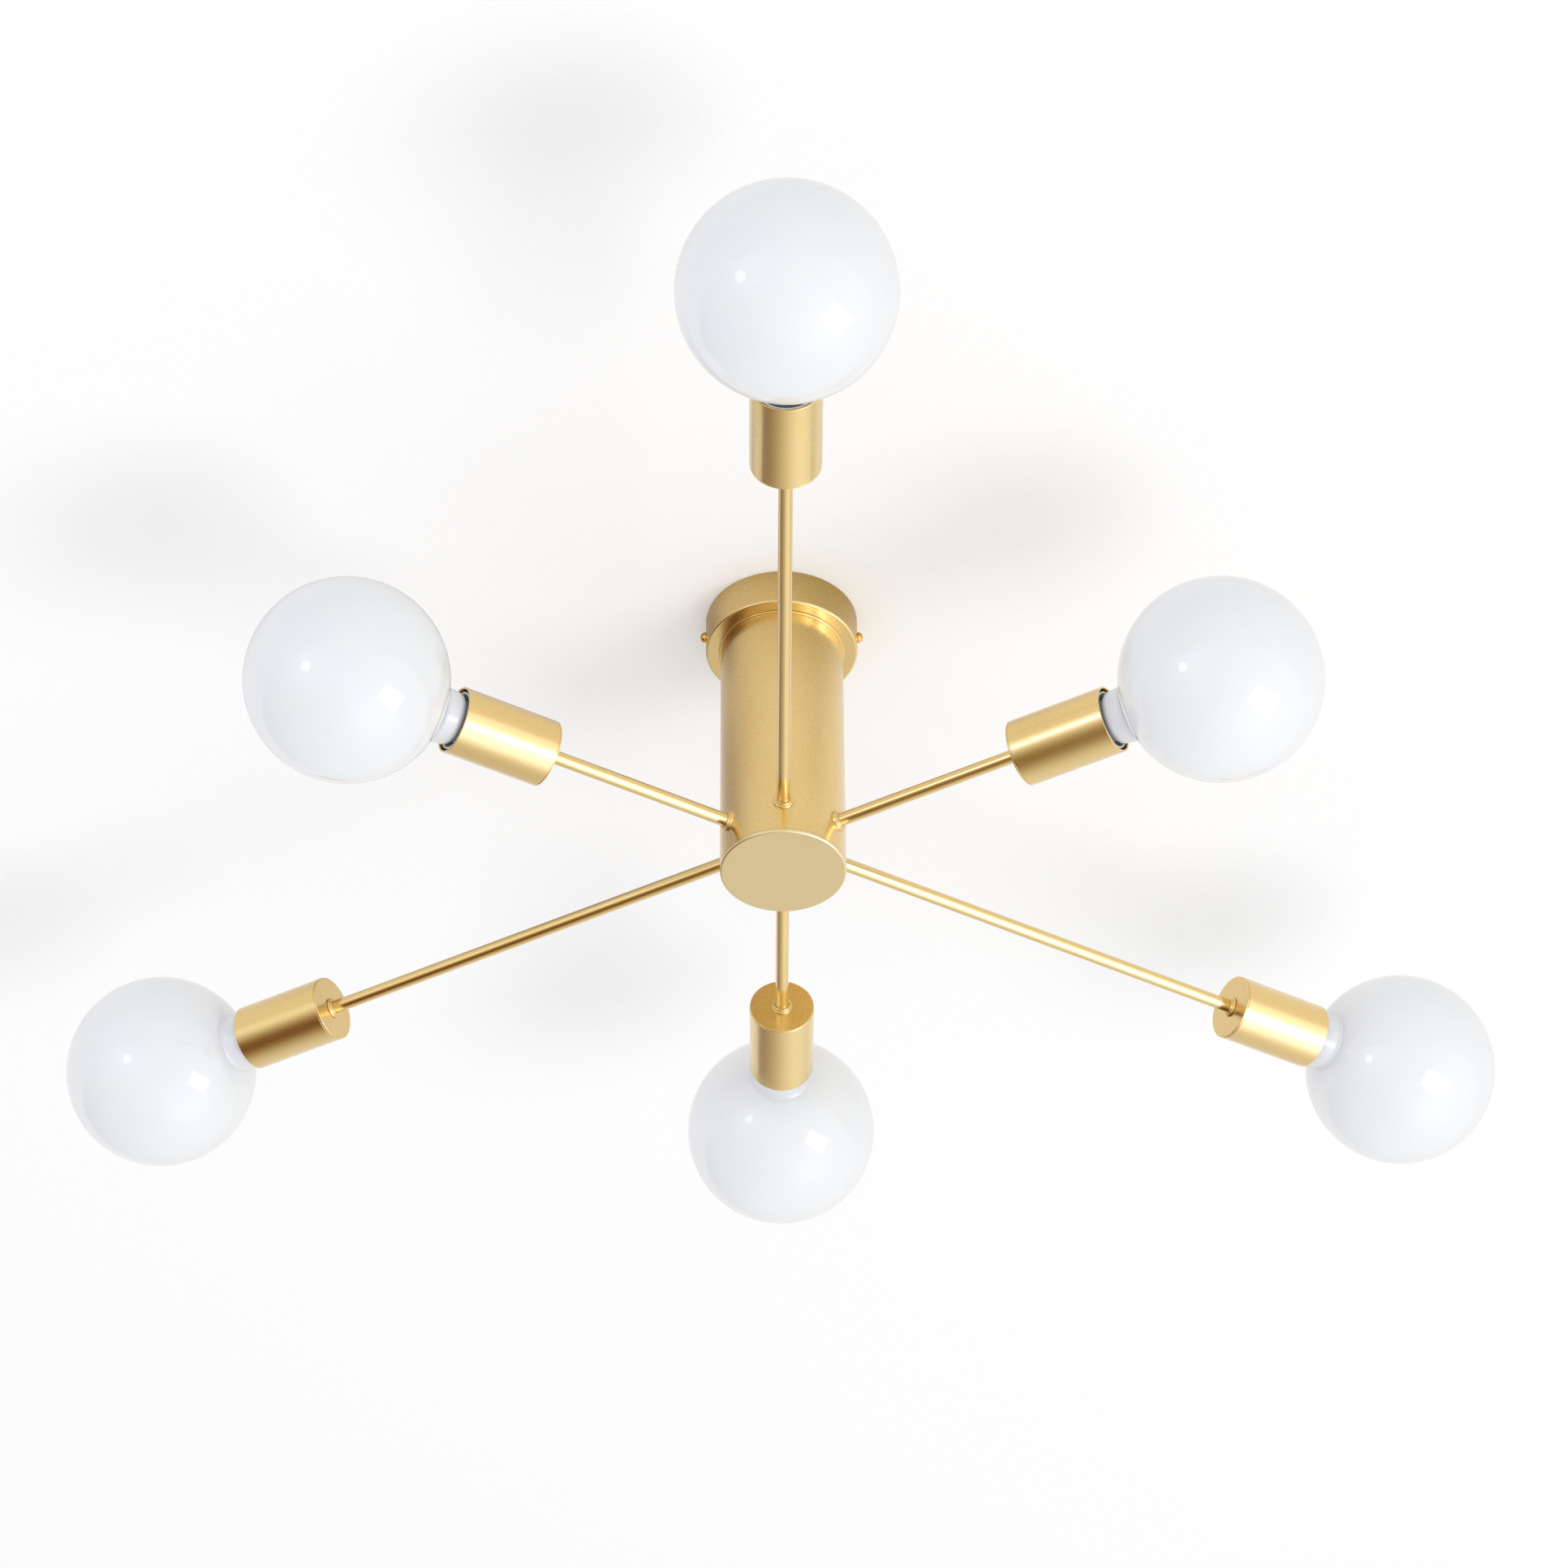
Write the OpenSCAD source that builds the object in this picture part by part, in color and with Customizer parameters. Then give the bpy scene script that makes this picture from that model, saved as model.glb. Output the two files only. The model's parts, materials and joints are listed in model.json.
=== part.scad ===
// Semi-flush ceiling light: six round bulbs on horizontal arms about a wide column.
// Millimetres. The origin is the centre of the canopy's ceiling face, and +Z is up.
// Arm 1 points along -Y. Odd arms are long, even arms are short, 60 degrees apart.

/* [Overall] */
// Ceiling to the underside of the column
drop = 210; // [170:1:400]
// Underside of the column up to the arms' centre line
arm_height = 25; // [20:1:60]
// Column centre to the back of the cup on a long arm
long_reach = 338; // [240:1:520]
// Column centre to the back of the cup on a short arm
short_reach = 168; // [120:1:236]

/* [Canopy] */
// Outer diameter of the canopy
canopy_d = 98; // [90:1:140]
// Height of the canopy
canopy_h = 26; // [24:1:45]
// Sheet thickness of the canopy
canopy_wall = 1; // [0.8:0.1:1.6]
// Rounding of the canopy's lower edge
canopy_edge = 1.2; // [0.4:0.1:2.5]

/* [Ceiling bracket] */
// Width of the bracket strip
bracket_w = 20; // [16:1:28]
// Thickness of the bracket strip
bracket_t = 1.5; // [1:0.1:2.5]
// Distance between the centres of the two ceiling slots
slot_spacing = 60; // [50:1:66]
// Width of a ceiling slot
slot_w = 4.5; // [3.5:0.1:6]
// End-to-end length of a ceiling slot
slot_len = 12; // [7:0.5:14]
// Hole for the supply cable in the middle of the bracket
cable_hole_d = 12; // [8:0.5:16]
// Bracket centre to the earth screw
earth_screw_x = 16; // [13:0.5:18]
// Thread diameter of the earth screw
earth_screw_d = 3.5; // [3:0.1:4]

/* [Side screws] */
// Thread diameter of the two screws that hold the canopy to the bracket
side_screw_d = 4; // [3:0.1:5]
// Length of a side screw under its head
side_screw_len = 9; // [7:0.5:14]
// Ceiling to the side screws' centre line
side_screw_z = 13; // [9:0.5:15]
// Diameter of a side screw's domed head
side_head_d = 7; // [6:0.1:10]
// Height of a side screw's head
side_head_h = 3.6; // [2:0.1:5]

/* [Wiring in the canopy] */
// Width of the terminal block
terminal_w = 30; // [26:1:36]
// Depth of the terminal block, away from the column centre
terminal_depth = 16; // [12:1:18]
// Height of the terminal block
terminal_h = 13; // [12:0.5:16]
// Distance between the terminal block's poles
pole_pitch = 9; // [7:0.5:10]
// Diameter of an insulated wire
wire_d = 2.2; // [1.6:0.1:2.3]

/* [Threaded tube] */
// Diameter of the threaded tube that joins the canopy to the column
tube_d = 10; // [9:0.5:14]
// Bore of the threaded tube
tube_bore = 7; // [6:0.5:8]
// Across the flats of its nuts
tube_nut_af = 14; // [13:0.5:20]
// Thickness of its nuts
tube_nut_t = 3; // [2:0.5:5]

/* [Column] */
// Outer diameter of the column
column_d = 79; // [66:1:84]
// Wall of the column
column_wall = 1.2; // [0.8:0.1:2.5]
// How far the top lip stands proud of the column
lip_w = 1.2; // [0.5:0.1:2.5]
// Thickness of the top lip
lip_t = 1.2; // [0.6:0.1:3]
// Depth of the spigots that centre both caps in the column
spigot_h = 6; // [3:0.5:8]
// Thickness of the end cap
end_cap_t = 2.5; // [1.6:0.1:5]
// Rounding of the end cap's lower edge
end_cap_edge = 1.2; // [0.4:0.1:1.5]
// Diameter of the wire connector inside the column
splice_d = 26; // [24:1:34]
// Height of the wire connector
splice_h = 16; // [10:1:24]

/* [Arms] */
// Outer diameter of an arm tube
arm_d = 8.5; // [7.4:0.1:10]
// Bore of an arm tube
arm_bore = 6; // [5.6:0.1:6.4]
// How far an arm reaches inside the column wall
arm_inside = 11; // [8:0.5:16]
// Across the flats of an arm's lock nut
arm_nut_af = 13; // [12:0.5:16]
// Thickness of an arm's lock nut
arm_nut_t = 4; // [2:0.5:5]
// Diameter of a collar's flange
collar_d = 13.6; // [12.8:0.1:18]
// Thickness of a collar's flange
collar_t = 1.6; // [1:0.1:3]
// Diameter of a collar's raised step
collar_step_d = 11.2; // [10.8:0.1:12.6]
// Height of a collar's raised step
collar_step_t = 1; // [0.5:0.1:2]

/* [Cups] */
// Outer diameter of a cup
cup_d = 42; // [40:0.5:60]
// Length of a cup, back to mouth
cup_len = 63.5; // [56:0.5:74]
// Wall of a cup
cup_wall = 1.2; // [0.8:0.1:1.6]
// Thickness of a cup's back
cup_back_t = 1.5; // [1:0.1:3]
// Rounding of a cup's back edge
cup_edge = 1; // [0.3:0.1:2]

/* [Lampholders] */
// Outer diameter of a lampholder
holder_d = 36.5; // [36:0.1:36.7]
// Wall of the lampholder's skirt at its rim
skirt_wall = 1; // [0.7:0.05:1.2]
// Depth of the skirt in front of the screw shell
skirt_depth = 9.1; // [6:0.1:10]
// Height of the wiring chamber behind the insert
chamber_h = 9; // [8.6:0.1:14]
// Thickness of the lampholder's back wall
holder_back_t = 3; // [2:0.1:5]
// Gap between an arm's lock nut and the lampholder
nut_to_holder = 1; // [0.3:0.1:3]
// Thread length of an arm in the lampholder
holder_thread = 5; // [3:0.1:5.4]
// Depth of the screw shell, front to back
shell_depth = 31; // [28:0.5:36]
// Sheet thickness of the shell and the contacts
shell_t = 0.5; // [0.3:0.1:0.8]

/* [Bulbs] */
// Diameter of the globe
globe_d = 125; // [90:1:150]
// Wall of the globe
globe_wall = 1; // [0.8:0.1:2]
// Crest diameter of the screw cap
cap_d = 26.4; // [26:0.1:26.8]
// Length of the screw cap, contact to rim
cap_len = 27; // [24:0.5:29]
// Pitch of the screw cap's thread
cap_pitch = 3.62; // [3:0.01:4]
// Diameter of the neck just past the screw cap
neck_low_d = 32.2; // [28:0.1:33.2]
// Diameter of the neck where the globe starts
neck_top_d = 35.7; // [34:0.1:40]
// Screw cap's rim to the start of the globe
neck_len = 25.6; // [22:0.1:40]
// Wall of the neck
neck_wall = 1.4; // [1:0.1:2]
// Thickness of the light board in the neck
board_t = 1.6; // [1:0.1:2.5]

/* [Hidden] */
// Clearances
thread_gap = 0.05;          // a screwed or pushed-on fit, in radius
hole_gap = 0.1;             // a tube through a plain hole, in radius
screw_hole_gap = 0.25;      // a screw through a plain hole, in radius
face_gap = 0.05;            // faces that rest on each other
slide_gap = 0.3;            // the bulb's cap in the shell, in radius
wall_gap = 0.35;            // the bracket's ears to the canopy wall

// Heights in the canopy and the column
canopy_r = canopy_d / 2;
canopy_in_r = canopy_r - canopy_wall;
canopy_floor_z = -canopy_h + canopy_wall;
column_r = column_d / 2;
column_in_r = column_r - column_wall;
column_top_z = -canopy_h - face_gap;
column_tube_top_z = column_top_z - lip_t;
column_tube_bottom_z = -drop + end_cap_t;
arm_z = -drop + arm_height;
top_plate_t = 2;
top_plate_z = column_tube_top_z - top_plate_t;
spigot_wall = 2;

// Threaded tube, its nuts and the earth lead's eyes
eye_t = 0.8;
thread_past_nut = 1.2;
upper_nut_z = canopy_floor_z + eye_t + 2 * face_gap;
lower_nut_z = top_plate_z - face_gap - tube_nut_t;
tube_top_z = upper_nut_z + tube_nut_t + thread_past_nut;
tube_bottom_z = lower_nut_z - thread_past_nut;
tube_nut_r = tube_nut_af / 2 / cos(30);

// Bracket
bracket_half = sqrt(pow(canopy_in_r, 2) - pow(bracket_w / 2, 2)) - wall_gap;
ear_h = side_screw_z + side_screw_d;
earth_head_d = 2 * earth_screw_d;
earth_head_h = 2.2;
earth_eye_z = -bracket_t - face_gap - eye_t;
earth_head_z = earth_eye_z - face_gap - earth_head_h;

// Wires
wire_r = wire_d / 2;
wire_side = wire_r + 0.2;
wire_bend = 9;
holder_bend = 3;
lead_z = tube_top_z + wire_r + 2.4;
terminal_y = tube_nut_r + 4;
clamp_r = wire_r + 0.9;
clamp_bore_r = wire_r + 0.3;
clamp_screw_r = 1.4;
clamp_screw_inset = 4;
lead_in_clamp = 5;
splice_z = (top_plate_z + arm_z) / 2;
splice_wire_inset = 4;
splice_wire_r = splice_d / 2 - splice_wire_inset;

// Arms
arm_r = arm_d / 2;
arm_in_r = column_in_r - arm_inside;
arm_nut_seat = sqrt(pow(column_in_r, 2) - pow(arm_nut_af / 2, 2)) - face_gap;

// Places along an arm, counted from the back face of the cup
cup_r = cup_d / 2;
holder_rear = cup_back_t + arm_nut_t + 2 * face_gap + nut_to_holder;
arm_end = holder_rear + holder_thread;
insert_rear = holder_rear + holder_back_t + chamber_h;
insert_floor_t = 2.5;
insert_floor = insert_rear + insert_floor_t;
contact_rise = 2.1;
bulb_tip = insert_floor + contact_rise + 2 * face_gap;
insert_front = insert_floor + shell_depth;
holder_rim = insert_front + skirt_depth;
holder_r = holder_d / 2;
skirt_in_r = holder_r - skirt_wall;
insert_r = skirt_in_r - 1;
chamber_step = 1.75;
chamber_r = insert_r - chamber_step;
boss_wall = 2.5;
boss_r = arm_r + boss_wall;
shell_in_r = cap_d / 2 + slide_gap;
shell_out_r = shell_in_r + shell_t;
shell_flange_in = 11.8;
shell_lip_w = 1.4;
shell_lip_r = shell_out_r + shell_lip_w;
neutral_v = shell_flange_in + 0.9;
live_v = -7.5;
contact_w = 5;
contact_far = 10;           // riveted end of the leaf, from the lampholder's axis
contact_foot = 5;           // where the leaf starts to rise
contact_near = 2;           // where it is level again
contact_tip = -3;           // its free end

// Bulb, along the same line
cap_rim = bulb_tip + cap_len;
cap_r = cap_d / 2;
thread_depth = 1;
cap_sheet = 0.4;
tip_r = 4.5;
tip_t = 1;
insulator_t = 3.6;
cap_shell_start = bulb_tip + tip_t + insulator_t + 2 * face_gap;
thread_start = cap_shell_start + 1.5;
thread_turns = floor((cap_rim - 2 - thread_start) / cap_pitch);
thread_steps = 8;
neck_spigot_r = cap_r - thread_depth - cap_sheet - hole_gap;
neck_spigot = 6;
neck_seam = cap_rim + neck_len;
neck_top_r = neck_top_d / 2;
seam_gap = 0.15;
globe_r = globe_d / 2;
globe_centre = neck_seam + sqrt(pow(globe_r, 2) - pow(neck_top_r, 2));
globe_lip = 4;
globe_lip_r = neck_top_r - neck_wall - thread_gap;
globe_lip_t = 1;
board_seat = neck_seam - seam_gap - globe_lip - face_gap;

arms = 6;
arm_step = 360 / arms;
$fn = 96;

function is_long(i) = i % 2 == 1;
function reach(i) = is_long(i) ? long_reach : short_reach;
function azimuth(i) = -90 + arm_step * (i - 1);
function numbered(name) = [for (i = [1:arms]) str(name, i)];

// Colours
gold = "#d6b66e";
steel = "#b8bcc0";
brass = "#c9a24a";
nickel = "#a9aaa8";
opal = "#f1f2f4";
white = "#ecebe6";
brown = "#6b4a34";
blue = "#3d6da8";
green = "#5c9a3c";

// Puts its children on arm i with +Z pointing out along the arm, from the column centre
module on_arm(i) {
    rotate([0, 0, azimuth(i)]) translate([0, 0, arm_z]) rotate([0, 90, 0]) children();
}

// The same, counted from the back face of the arm's cup
module in_cup(i) {
    on_arm(i) translate([0, 0, reach(i)]) children();
}

// A ring between two radii and two heights
module ring(r_in, r_out, low, high) {
    translate([0, 0, low]) rotate_extrude() translate([r_in, 0]) square([r_out - r_in, high - low]);
}

// Half section of a disc, its lower outer edge rounded
module disc_section(r, t, edge) {
    square([r - edge, t]);
    translate([0, edge]) square([r, t - edge]);
    translate([r - edge, edge]) circle(edge);
}

// Half section of a disc rounded on both outer edges
module pill_section(r_in, r, t) {
    edge = min(t / 2, r - r_in) * 0.98;
    intersection() {
        union() {
            square([r - edge, t]);
            translate([0, edge]) square([r, t - 2 * edge]);
            for (y = [edge, t - edge]) translate([r - edge, y]) circle(edge);
        }
        translate([r_in, 0]) square([r - r_in, t]);
    }
}

module hex_nut(af, t, bore_r) {
    difference() {
        cylinder(h = t, r = af / 2 / cos(30), $fn = 6);
        translate([0, 0, -1]) cylinder(h = t + 2, r = bore_r);
    }
}

// Points of an arc in the r-z plane of an arm
function arc(cr, cz, rad, from, to, side, steps = 4) =
    [for (k = [0:steps]) let (a = from + (to - from) * k / steps)
        [cr + rad * cos(a), side, cz + rad * sin(a)]];

function unit(v) = v / norm(v);
function tangent(p, i) =
    unit(p[min(i + 1, len(p) - 1)] - p[max(i - 1, 0)]);
function square_to(v, t) = unit(v - (v * t) * t);

// A round wire along a list of points, one ring of corners at each point
module wire(p, r, start = [0, 1, 0], sides = 8) {
    n = len(p);
    normals = [for (i = 0, v = square_to(start, tangent(p, 0)); i < n;
                    i = i + 1, v = square_to(v, tangent(p, min(i, n - 1)))) v];
    rings = [for (i = [0:n - 1]) let (a = normals[i], b = cross(tangent(p, i), a))
        for (s = [0:sides - 1]) p[i] + r * (cos(360 * s / sides) * a + sin(360 * s / sides) * b)];
    faces = concat(
        [[for (s = [0:sides - 1]) s]],
        [for (i = [0:n - 2], s = [0:sides - 1]) let (q = (s + 1) % sides)
            each [[i * sides + s, (i + 1) * sides + s, (i + 1) * sides + q],
                  [i * sides + s, (i + 1) * sides + q, i * sides + q]]],
        [[for (s = [sides - 1:-1:0]) (n - 1) * sides + s]]);
    polyhedron(points = rings, faces = faces);
}

// Catmull-Rom curve through hand-placed points
function smooth_path(p, steps = 3) =
    [for (i = [0:len(p) - 2], k = [0:steps - 1]) let (t = k / steps,
            a = p[max(i - 1, 0)], b = p[i], c = p[i + 1], d = p[min(i + 2, len(p) - 1)])
        0.5 * (2 * b + (c - a) * t + (2 * a - 5 * b + 4 * c - d) * t * t
               + (3 * b - a - 3 * c + d) * t * t * t), p[len(p) - 1]];

module ceiling_bracket() {
    color(steel) difference() {
        union() {
            translate([-bracket_half, -bracket_w / 2, -bracket_t])
                cube([2 * bracket_half, bracket_w, bracket_t]);
            for (m = [0, 1]) mirror([m, 0, 0])
                translate([bracket_half - bracket_t, -bracket_w / 2, -ear_h])
                    cube([bracket_t, bracket_w, ear_h]);
        }
        translate([0, 0, -bracket_t - 1]) cylinder(h = bracket_t + 2, d = cable_hole_d);
        for (m = [0, 1]) mirror([m, 0, 0]) translate([slot_spacing / 2, 0, -bracket_t - 1]) slot();
        translate([earth_screw_x, 0, -bracket_t - 1])
            cylinder(h = bracket_t + 2, r = earth_screw_d / 2 + thread_gap);
        translate([-bracket_half - 1, 0, -side_screw_z]) rotate([0, 90, 0])
            cylinder(h = 2 * bracket_half + 2, r = side_screw_d / 2 + thread_gap);
    }
}

module slot() {
    straight = slot_len - slot_w;
    for (x = [-straight / 2, straight / 2]) translate([x, 0, 0])
        cylinder(h = bracket_t + 2, d = slot_w);
    translate([-straight / 2, -slot_w / 2, 0]) cube([straight, slot_w, bracket_t + 2]);
}

module earth_screw() {
    color(brass) translate([earth_screw_x, 0, 0]) {
        translate([0, 0, earth_head_z]) difference() {
            cylinder(h = earth_head_h, d = earth_head_d);
            translate([-earth_head_d, -0.5, -1]) cube([2 * earth_head_d, 1, 1 + earth_head_h / 2]);
        }
        translate([0, 0, earth_head_z]) cylinder(h = -earth_head_z - face_gap, d = earth_screw_d);
    }
}

// Earth wire from the bracket to the canopy, with an eye under each fastener
module earth_lead() {
    eye_r = earth_head_d / 2 + 0.5;
    tube_eye_r = tube_nut_r + 0.5;
    wire_top = earth_eye_z + eye_t / 2 - wire_r;
    wire_low = canopy_floor_z + face_gap + wire_r;
    lug_w = 3;
    lug_len = 3;
    color(green) {
        difference() {
            union() {
                translate([earth_screw_x, 0, earth_eye_z]) cylinder(h = eye_t, r = eye_r);
                translate([earth_screw_x - lug_w / 2, -eye_r - lug_len, earth_eye_z])
                    cube([lug_w, eye_r, eye_t]);
                translate([0, 0, canopy_floor_z + face_gap]) cylinder(h = eye_t, r = tube_eye_r);
                translate([-lug_w / 2, -tube_eye_r - lug_len, canopy_floor_z + face_gap])
                    cube([lug_w, tube_eye_r, eye_t]);
                wire(smooth_path([
                    [0, -tube_eye_r - 0.8, wire_low],
                    [0, -tube_eye_r - 3.4, wire_low],
                    [5, -tube_eye_r - 5.5, wire_low + 1],
                    [12, -tube_eye_r - 5, (wire_low + wire_top) / 2 - 1],
                    [earth_screw_x, -eye_r - 7, wire_top - 2.5],
                    [earth_screw_x, -eye_r - 3.6, wire_top],
                    [earth_screw_x, -eye_r - 1, wire_top]]), wire_r, [1, 0, 0]);
            }
            translate([earth_screw_x, 0, earth_eye_z - 1])
                cylinder(h = eye_t + 2, r = earth_screw_d / 2 + hole_gap);
            translate([0, 0, canopy_floor_z - 1]) cylinder(h = eye_t + 3, r = tube_d / 2 + hole_gap);
        }
    }
}

module canopy() {
    color(gold) difference() {
        translate([0, 0, -canopy_h]) rotate_extrude() difference() {
            disc_section(canopy_r, canopy_h, canopy_edge);
            translate([-1, canopy_wall]) square([canopy_in_r + 1, canopy_h]);
        }
        translate([0, 0, -canopy_h - 1])
            cylinder(h = canopy_wall + 2, r = tube_d / 2 + hole_gap);
        translate([-canopy_r - 1, 0, -side_screw_z]) rotate([0, 90, 0])
            cylinder(h = canopy_d + 2, r = side_screw_d / 2 + screw_hole_gap);
    }
}

// A screw along +X, its domed head outside the canopy
module side_screw() {
    rim = side_head_h / 3;
    dome = side_head_h - rim;
    color(gold) translate([canopy_r + face_gap, 0, -side_screw_z]) rotate([0, 90, 0]) {
        cylinder(h = rim, d = side_head_d);
        translate([0, 0, rim]) intersection() {
            cylinder(h = dome, d = side_head_d);
            dome_r = (pow(side_head_d / 2, 2) + dome * dome) / (2 * dome);
            translate([0, 0, dome - dome_r]) sphere(dome_r);
        }
        translate([0, 0, -side_screw_len]) cylinder(h = side_screw_len + rim / 2, d = side_screw_d);
    }
}

module side_screw_left() {
    mirror([1, 0, 0]) side_screw();
}

module side_screw_right() {
    side_screw();
}

module pole_places() {
    for (k = [-1:1]) translate([k * pole_pitch, terminal_y, lead_z]) children();
}

module clamp_screw_places() {
    for (y = [clamp_screw_inset, terminal_depth - clamp_screw_inset]) translate([0, y, 0]) children();
}

module terminal_block() {
    bottom = canopy_floor_z + face_gap;
    color(white) difference() {
        translate([-terminal_w / 2, terminal_y, bottom])
            cube([terminal_w, terminal_depth, terminal_h]);
        pole_places() {
            translate([0, -1, 0]) rotate([-90, 0, 0])
                cylinder(h = terminal_depth + 2, r = clamp_r + thread_gap);
            clamp_screw_places() cylinder(h = terminal_h, r = clamp_screw_r + hole_gap);
        }
    }
}

// One brass clamp per pole, with its two screws
module terminal_clamps() {
    top = canopy_floor_z + face_gap + terminal_h;
    color(brass) pole_places() difference() {
        union() {
            translate([0, 0.5, 0]) rotate([-90, 0, 0]) cylinder(h = terminal_depth - 1, r = clamp_r);
            clamp_screw_places() cylinder(h = top - lead_z - 1, r = clamp_screw_r);
        }
        rotate([-90, 0, 0]) cylinder(h = terminal_depth, r = clamp_bore_r);
    }
}

module threaded_tube() {
    color(steel) ring(tube_bore / 2, tube_d / 2, tube_bottom_z, tube_top_z);
}

module threaded_tube_nuts() {
    color(steel) for (z = [upper_nut_z, lower_nut_z]) translate([0, 0, z])
        hex_nut(tube_nut_af, tube_nut_t, tube_d / 2 + thread_gap);
}

// Top plate of the column: a thin proud lip, a plate and a spigot inside the tube
module column_top_cap() {
    in_r = column_in_r - thread_gap;
    lip_r = column_r + lip_w;
    edge = min(lip_t, lip_w) / 2;
    color(gold) difference() {
        union() {
            translate([0, 0, column_tube_top_z]) rotate_extrude() disc_section(lip_r, lip_t, edge);
            translate([0, 0, top_plate_z]) cylinder(h = top_plate_t, r = in_r);
            ring(in_r - spigot_wall, in_r, column_tube_top_z - spigot_h, column_tube_top_z);
        }
        translate([0, 0, top_plate_z - 1])
            cylinder(h = top_plate_t + lip_t + 2, r = tube_d / 2 + hole_gap);
    }
}

module column_tube() {
    color(gold) difference() {
        ring(column_in_r, column_r, column_tube_bottom_z + face_gap, column_tube_top_z - face_gap);
        for (i = [1:arms]) on_arm(i) translate([0, 0, column_in_r - 5])
            cylinder(h = column_wall + 10, r = arm_r + hole_gap);
    }
}

module column_end_cap() {
    in_r = column_in_r - thread_gap;
    color(gold) {
        translate([0, 0, -drop]) rotate_extrude() disc_section(column_r, end_cap_t, end_cap_edge);
        ring(in_r - spigot_wall, in_r, column_tube_bottom_z - end_cap_t / 2,
             column_tube_bottom_z + spigot_h);
    }
}

// Half section of a collar: a rounded flange and a smaller raised step round the arm
module collar_section(sink) {
    bore = arm_r + thread_gap;
    translate([0, -sink]) pill_section(bore, collar_d / 2, collar_t + sink);
    translate([0, collar_t / 2]) pill_section(bore, collar_step_d / 2, collar_t / 2 + collar_step_t);
}

module column_collars() {
    sink = column_r - sqrt(pow(column_r, 2) - pow(collar_d / 2, 2));
    color(gold) difference() {
        for (i = [1:arms]) on_arm(i) translate([0, 0, column_r])
            rotate_extrude() collar_section(sink);
        translate([0, 0, -drop]) cylinder(h = drop, r = column_r + face_gap / 2);
    }
}

module cup_collars() {
    color(gold) for (i = [1:arms]) in_cup(i) mirror([0, 0, 1]) translate([0, 0, face_gap / 2])
        rotate_extrude() collar_section(0);
}

module column_lock_nuts() {
    color(steel) for (i = [1:arms]) on_arm(i) translate([0, 0, arm_nut_seat - arm_nut_t])
        hex_nut(arm_nut_af, arm_nut_t, arm_r + thread_gap);
}

module cup_lock_nuts() {
    color(steel) for (i = [1:arms]) in_cup(i) translate([0, 0, cup_back_t + face_gap])
        hex_nut(arm_nut_af, arm_nut_t, arm_r + thread_gap);
}

module arm(i) {
    color(gold) on_arm(i) ring(arm_bore / 2, arm_r, arm_in_r, reach(i) + arm_end);
}

module cup(i) {
    color(gold) in_cup(i) rotate_extrude() difference() {
        disc_section(cup_r, cup_len, cup_edge);
        translate([-1, cup_back_t]) square([cup_r - cup_wall + 1, cup_len]);
        translate([-1, -1]) square([arm_r + hole_gap + 1, cup_back_t + 2]);
    }
}

// Lampholder body: back wall screwed on the arm, wiring chamber, and a thin skirt at the rim
module lampholder(i) {
    shoulder = 5;
    color(white) in_cup(i) rotate_extrude() difference() {
        polygon([[0, holder_rear], [holder_r - shoulder, holder_rear],
                 [holder_r, holder_rear + shoulder], [holder_r, holder_rim], [0, holder_rim]]);
        translate([-1, insert_front]) square([skirt_in_r + 1, skirt_depth + 1]);
        translate([-1, insert_rear]) square([insert_r + 1, shell_depth + insert_floor_t + 1]);
        translate([boss_r, holder_rear + holder_back_t]) square([chamber_r - boss_r, chamber_h + 1]);
        translate([-1, arm_end + face_gap]) square([boss_r + 2, insert_rear - arm_end]);
        translate([-1, holder_rear - 1]) square([arm_r + thread_gap + 1, holder_thread + 2]);
    }
}

// Insulating inserts: a floor with two wire holes and a wall round the screw shell
module lampholder_inserts() {
    out_r = insert_r - thread_gap;
    color(white) for (i = [1:arms]) in_cup(i) difference() {
        translate([0, 0, insert_rear + face_gap]) cylinder(h = insert_front - insert_rear - face_gap,
                                                           r = out_r);
        translate([0, 0, insert_floor]) cylinder(h = shell_depth + 1, r = shell_out_r + thread_gap);
        for (v = [neutral_v, live_v]) translate([-v, v > 0 ? wire_side : -wire_side, insert_rear - 1])
            cylinder(h = insert_floor_t + 2, r = wire_r + hole_gap);
    }
}

// Screw shells with a turned-in foot and a turned-out front lip, their bore plain at crest size
module screw_shells() {
    foot = insert_floor + face_gap;
    color(nickel) for (i = [1:arms]) in_cup(i) {
        ring(shell_flange_in, shell_out_r, foot, foot + shell_t);
        ring(shell_in_r, shell_out_r, foot, insert_front + shell_t);
        ring(shell_in_r, shell_lip_r, insert_front + face_gap, insert_front + shell_t);
    }
}

// Leaf springs under the bulbs' tips, riveted over the live wire's hole
module centre_contacts() {
    foot = insert_floor + face_gap;
    top = insert_floor + contact_rise;
    lean = 0.4 * shell_t;
    color(brass) for (i = [1:arms]) in_cup(i) rotate([90, 0, 0])
        linear_extrude(contact_w, center = true)
            polygon([[contact_far, foot], [contact_foot, foot], [contact_near, top - shell_t],
                     [contact_tip, top - shell_t], [contact_tip, top], [contact_near + lean, top],
                     [contact_foot + lean, foot + shell_t], [contact_far, foot + shell_t]]);
}

// Round connector in the column where the two supply leads meet the arms' wires
module wire_connector() {
    color(white) translate([0, 0, splice_z - splice_h / 2]) cylinder(h = splice_h, d = splice_d);
}

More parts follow.
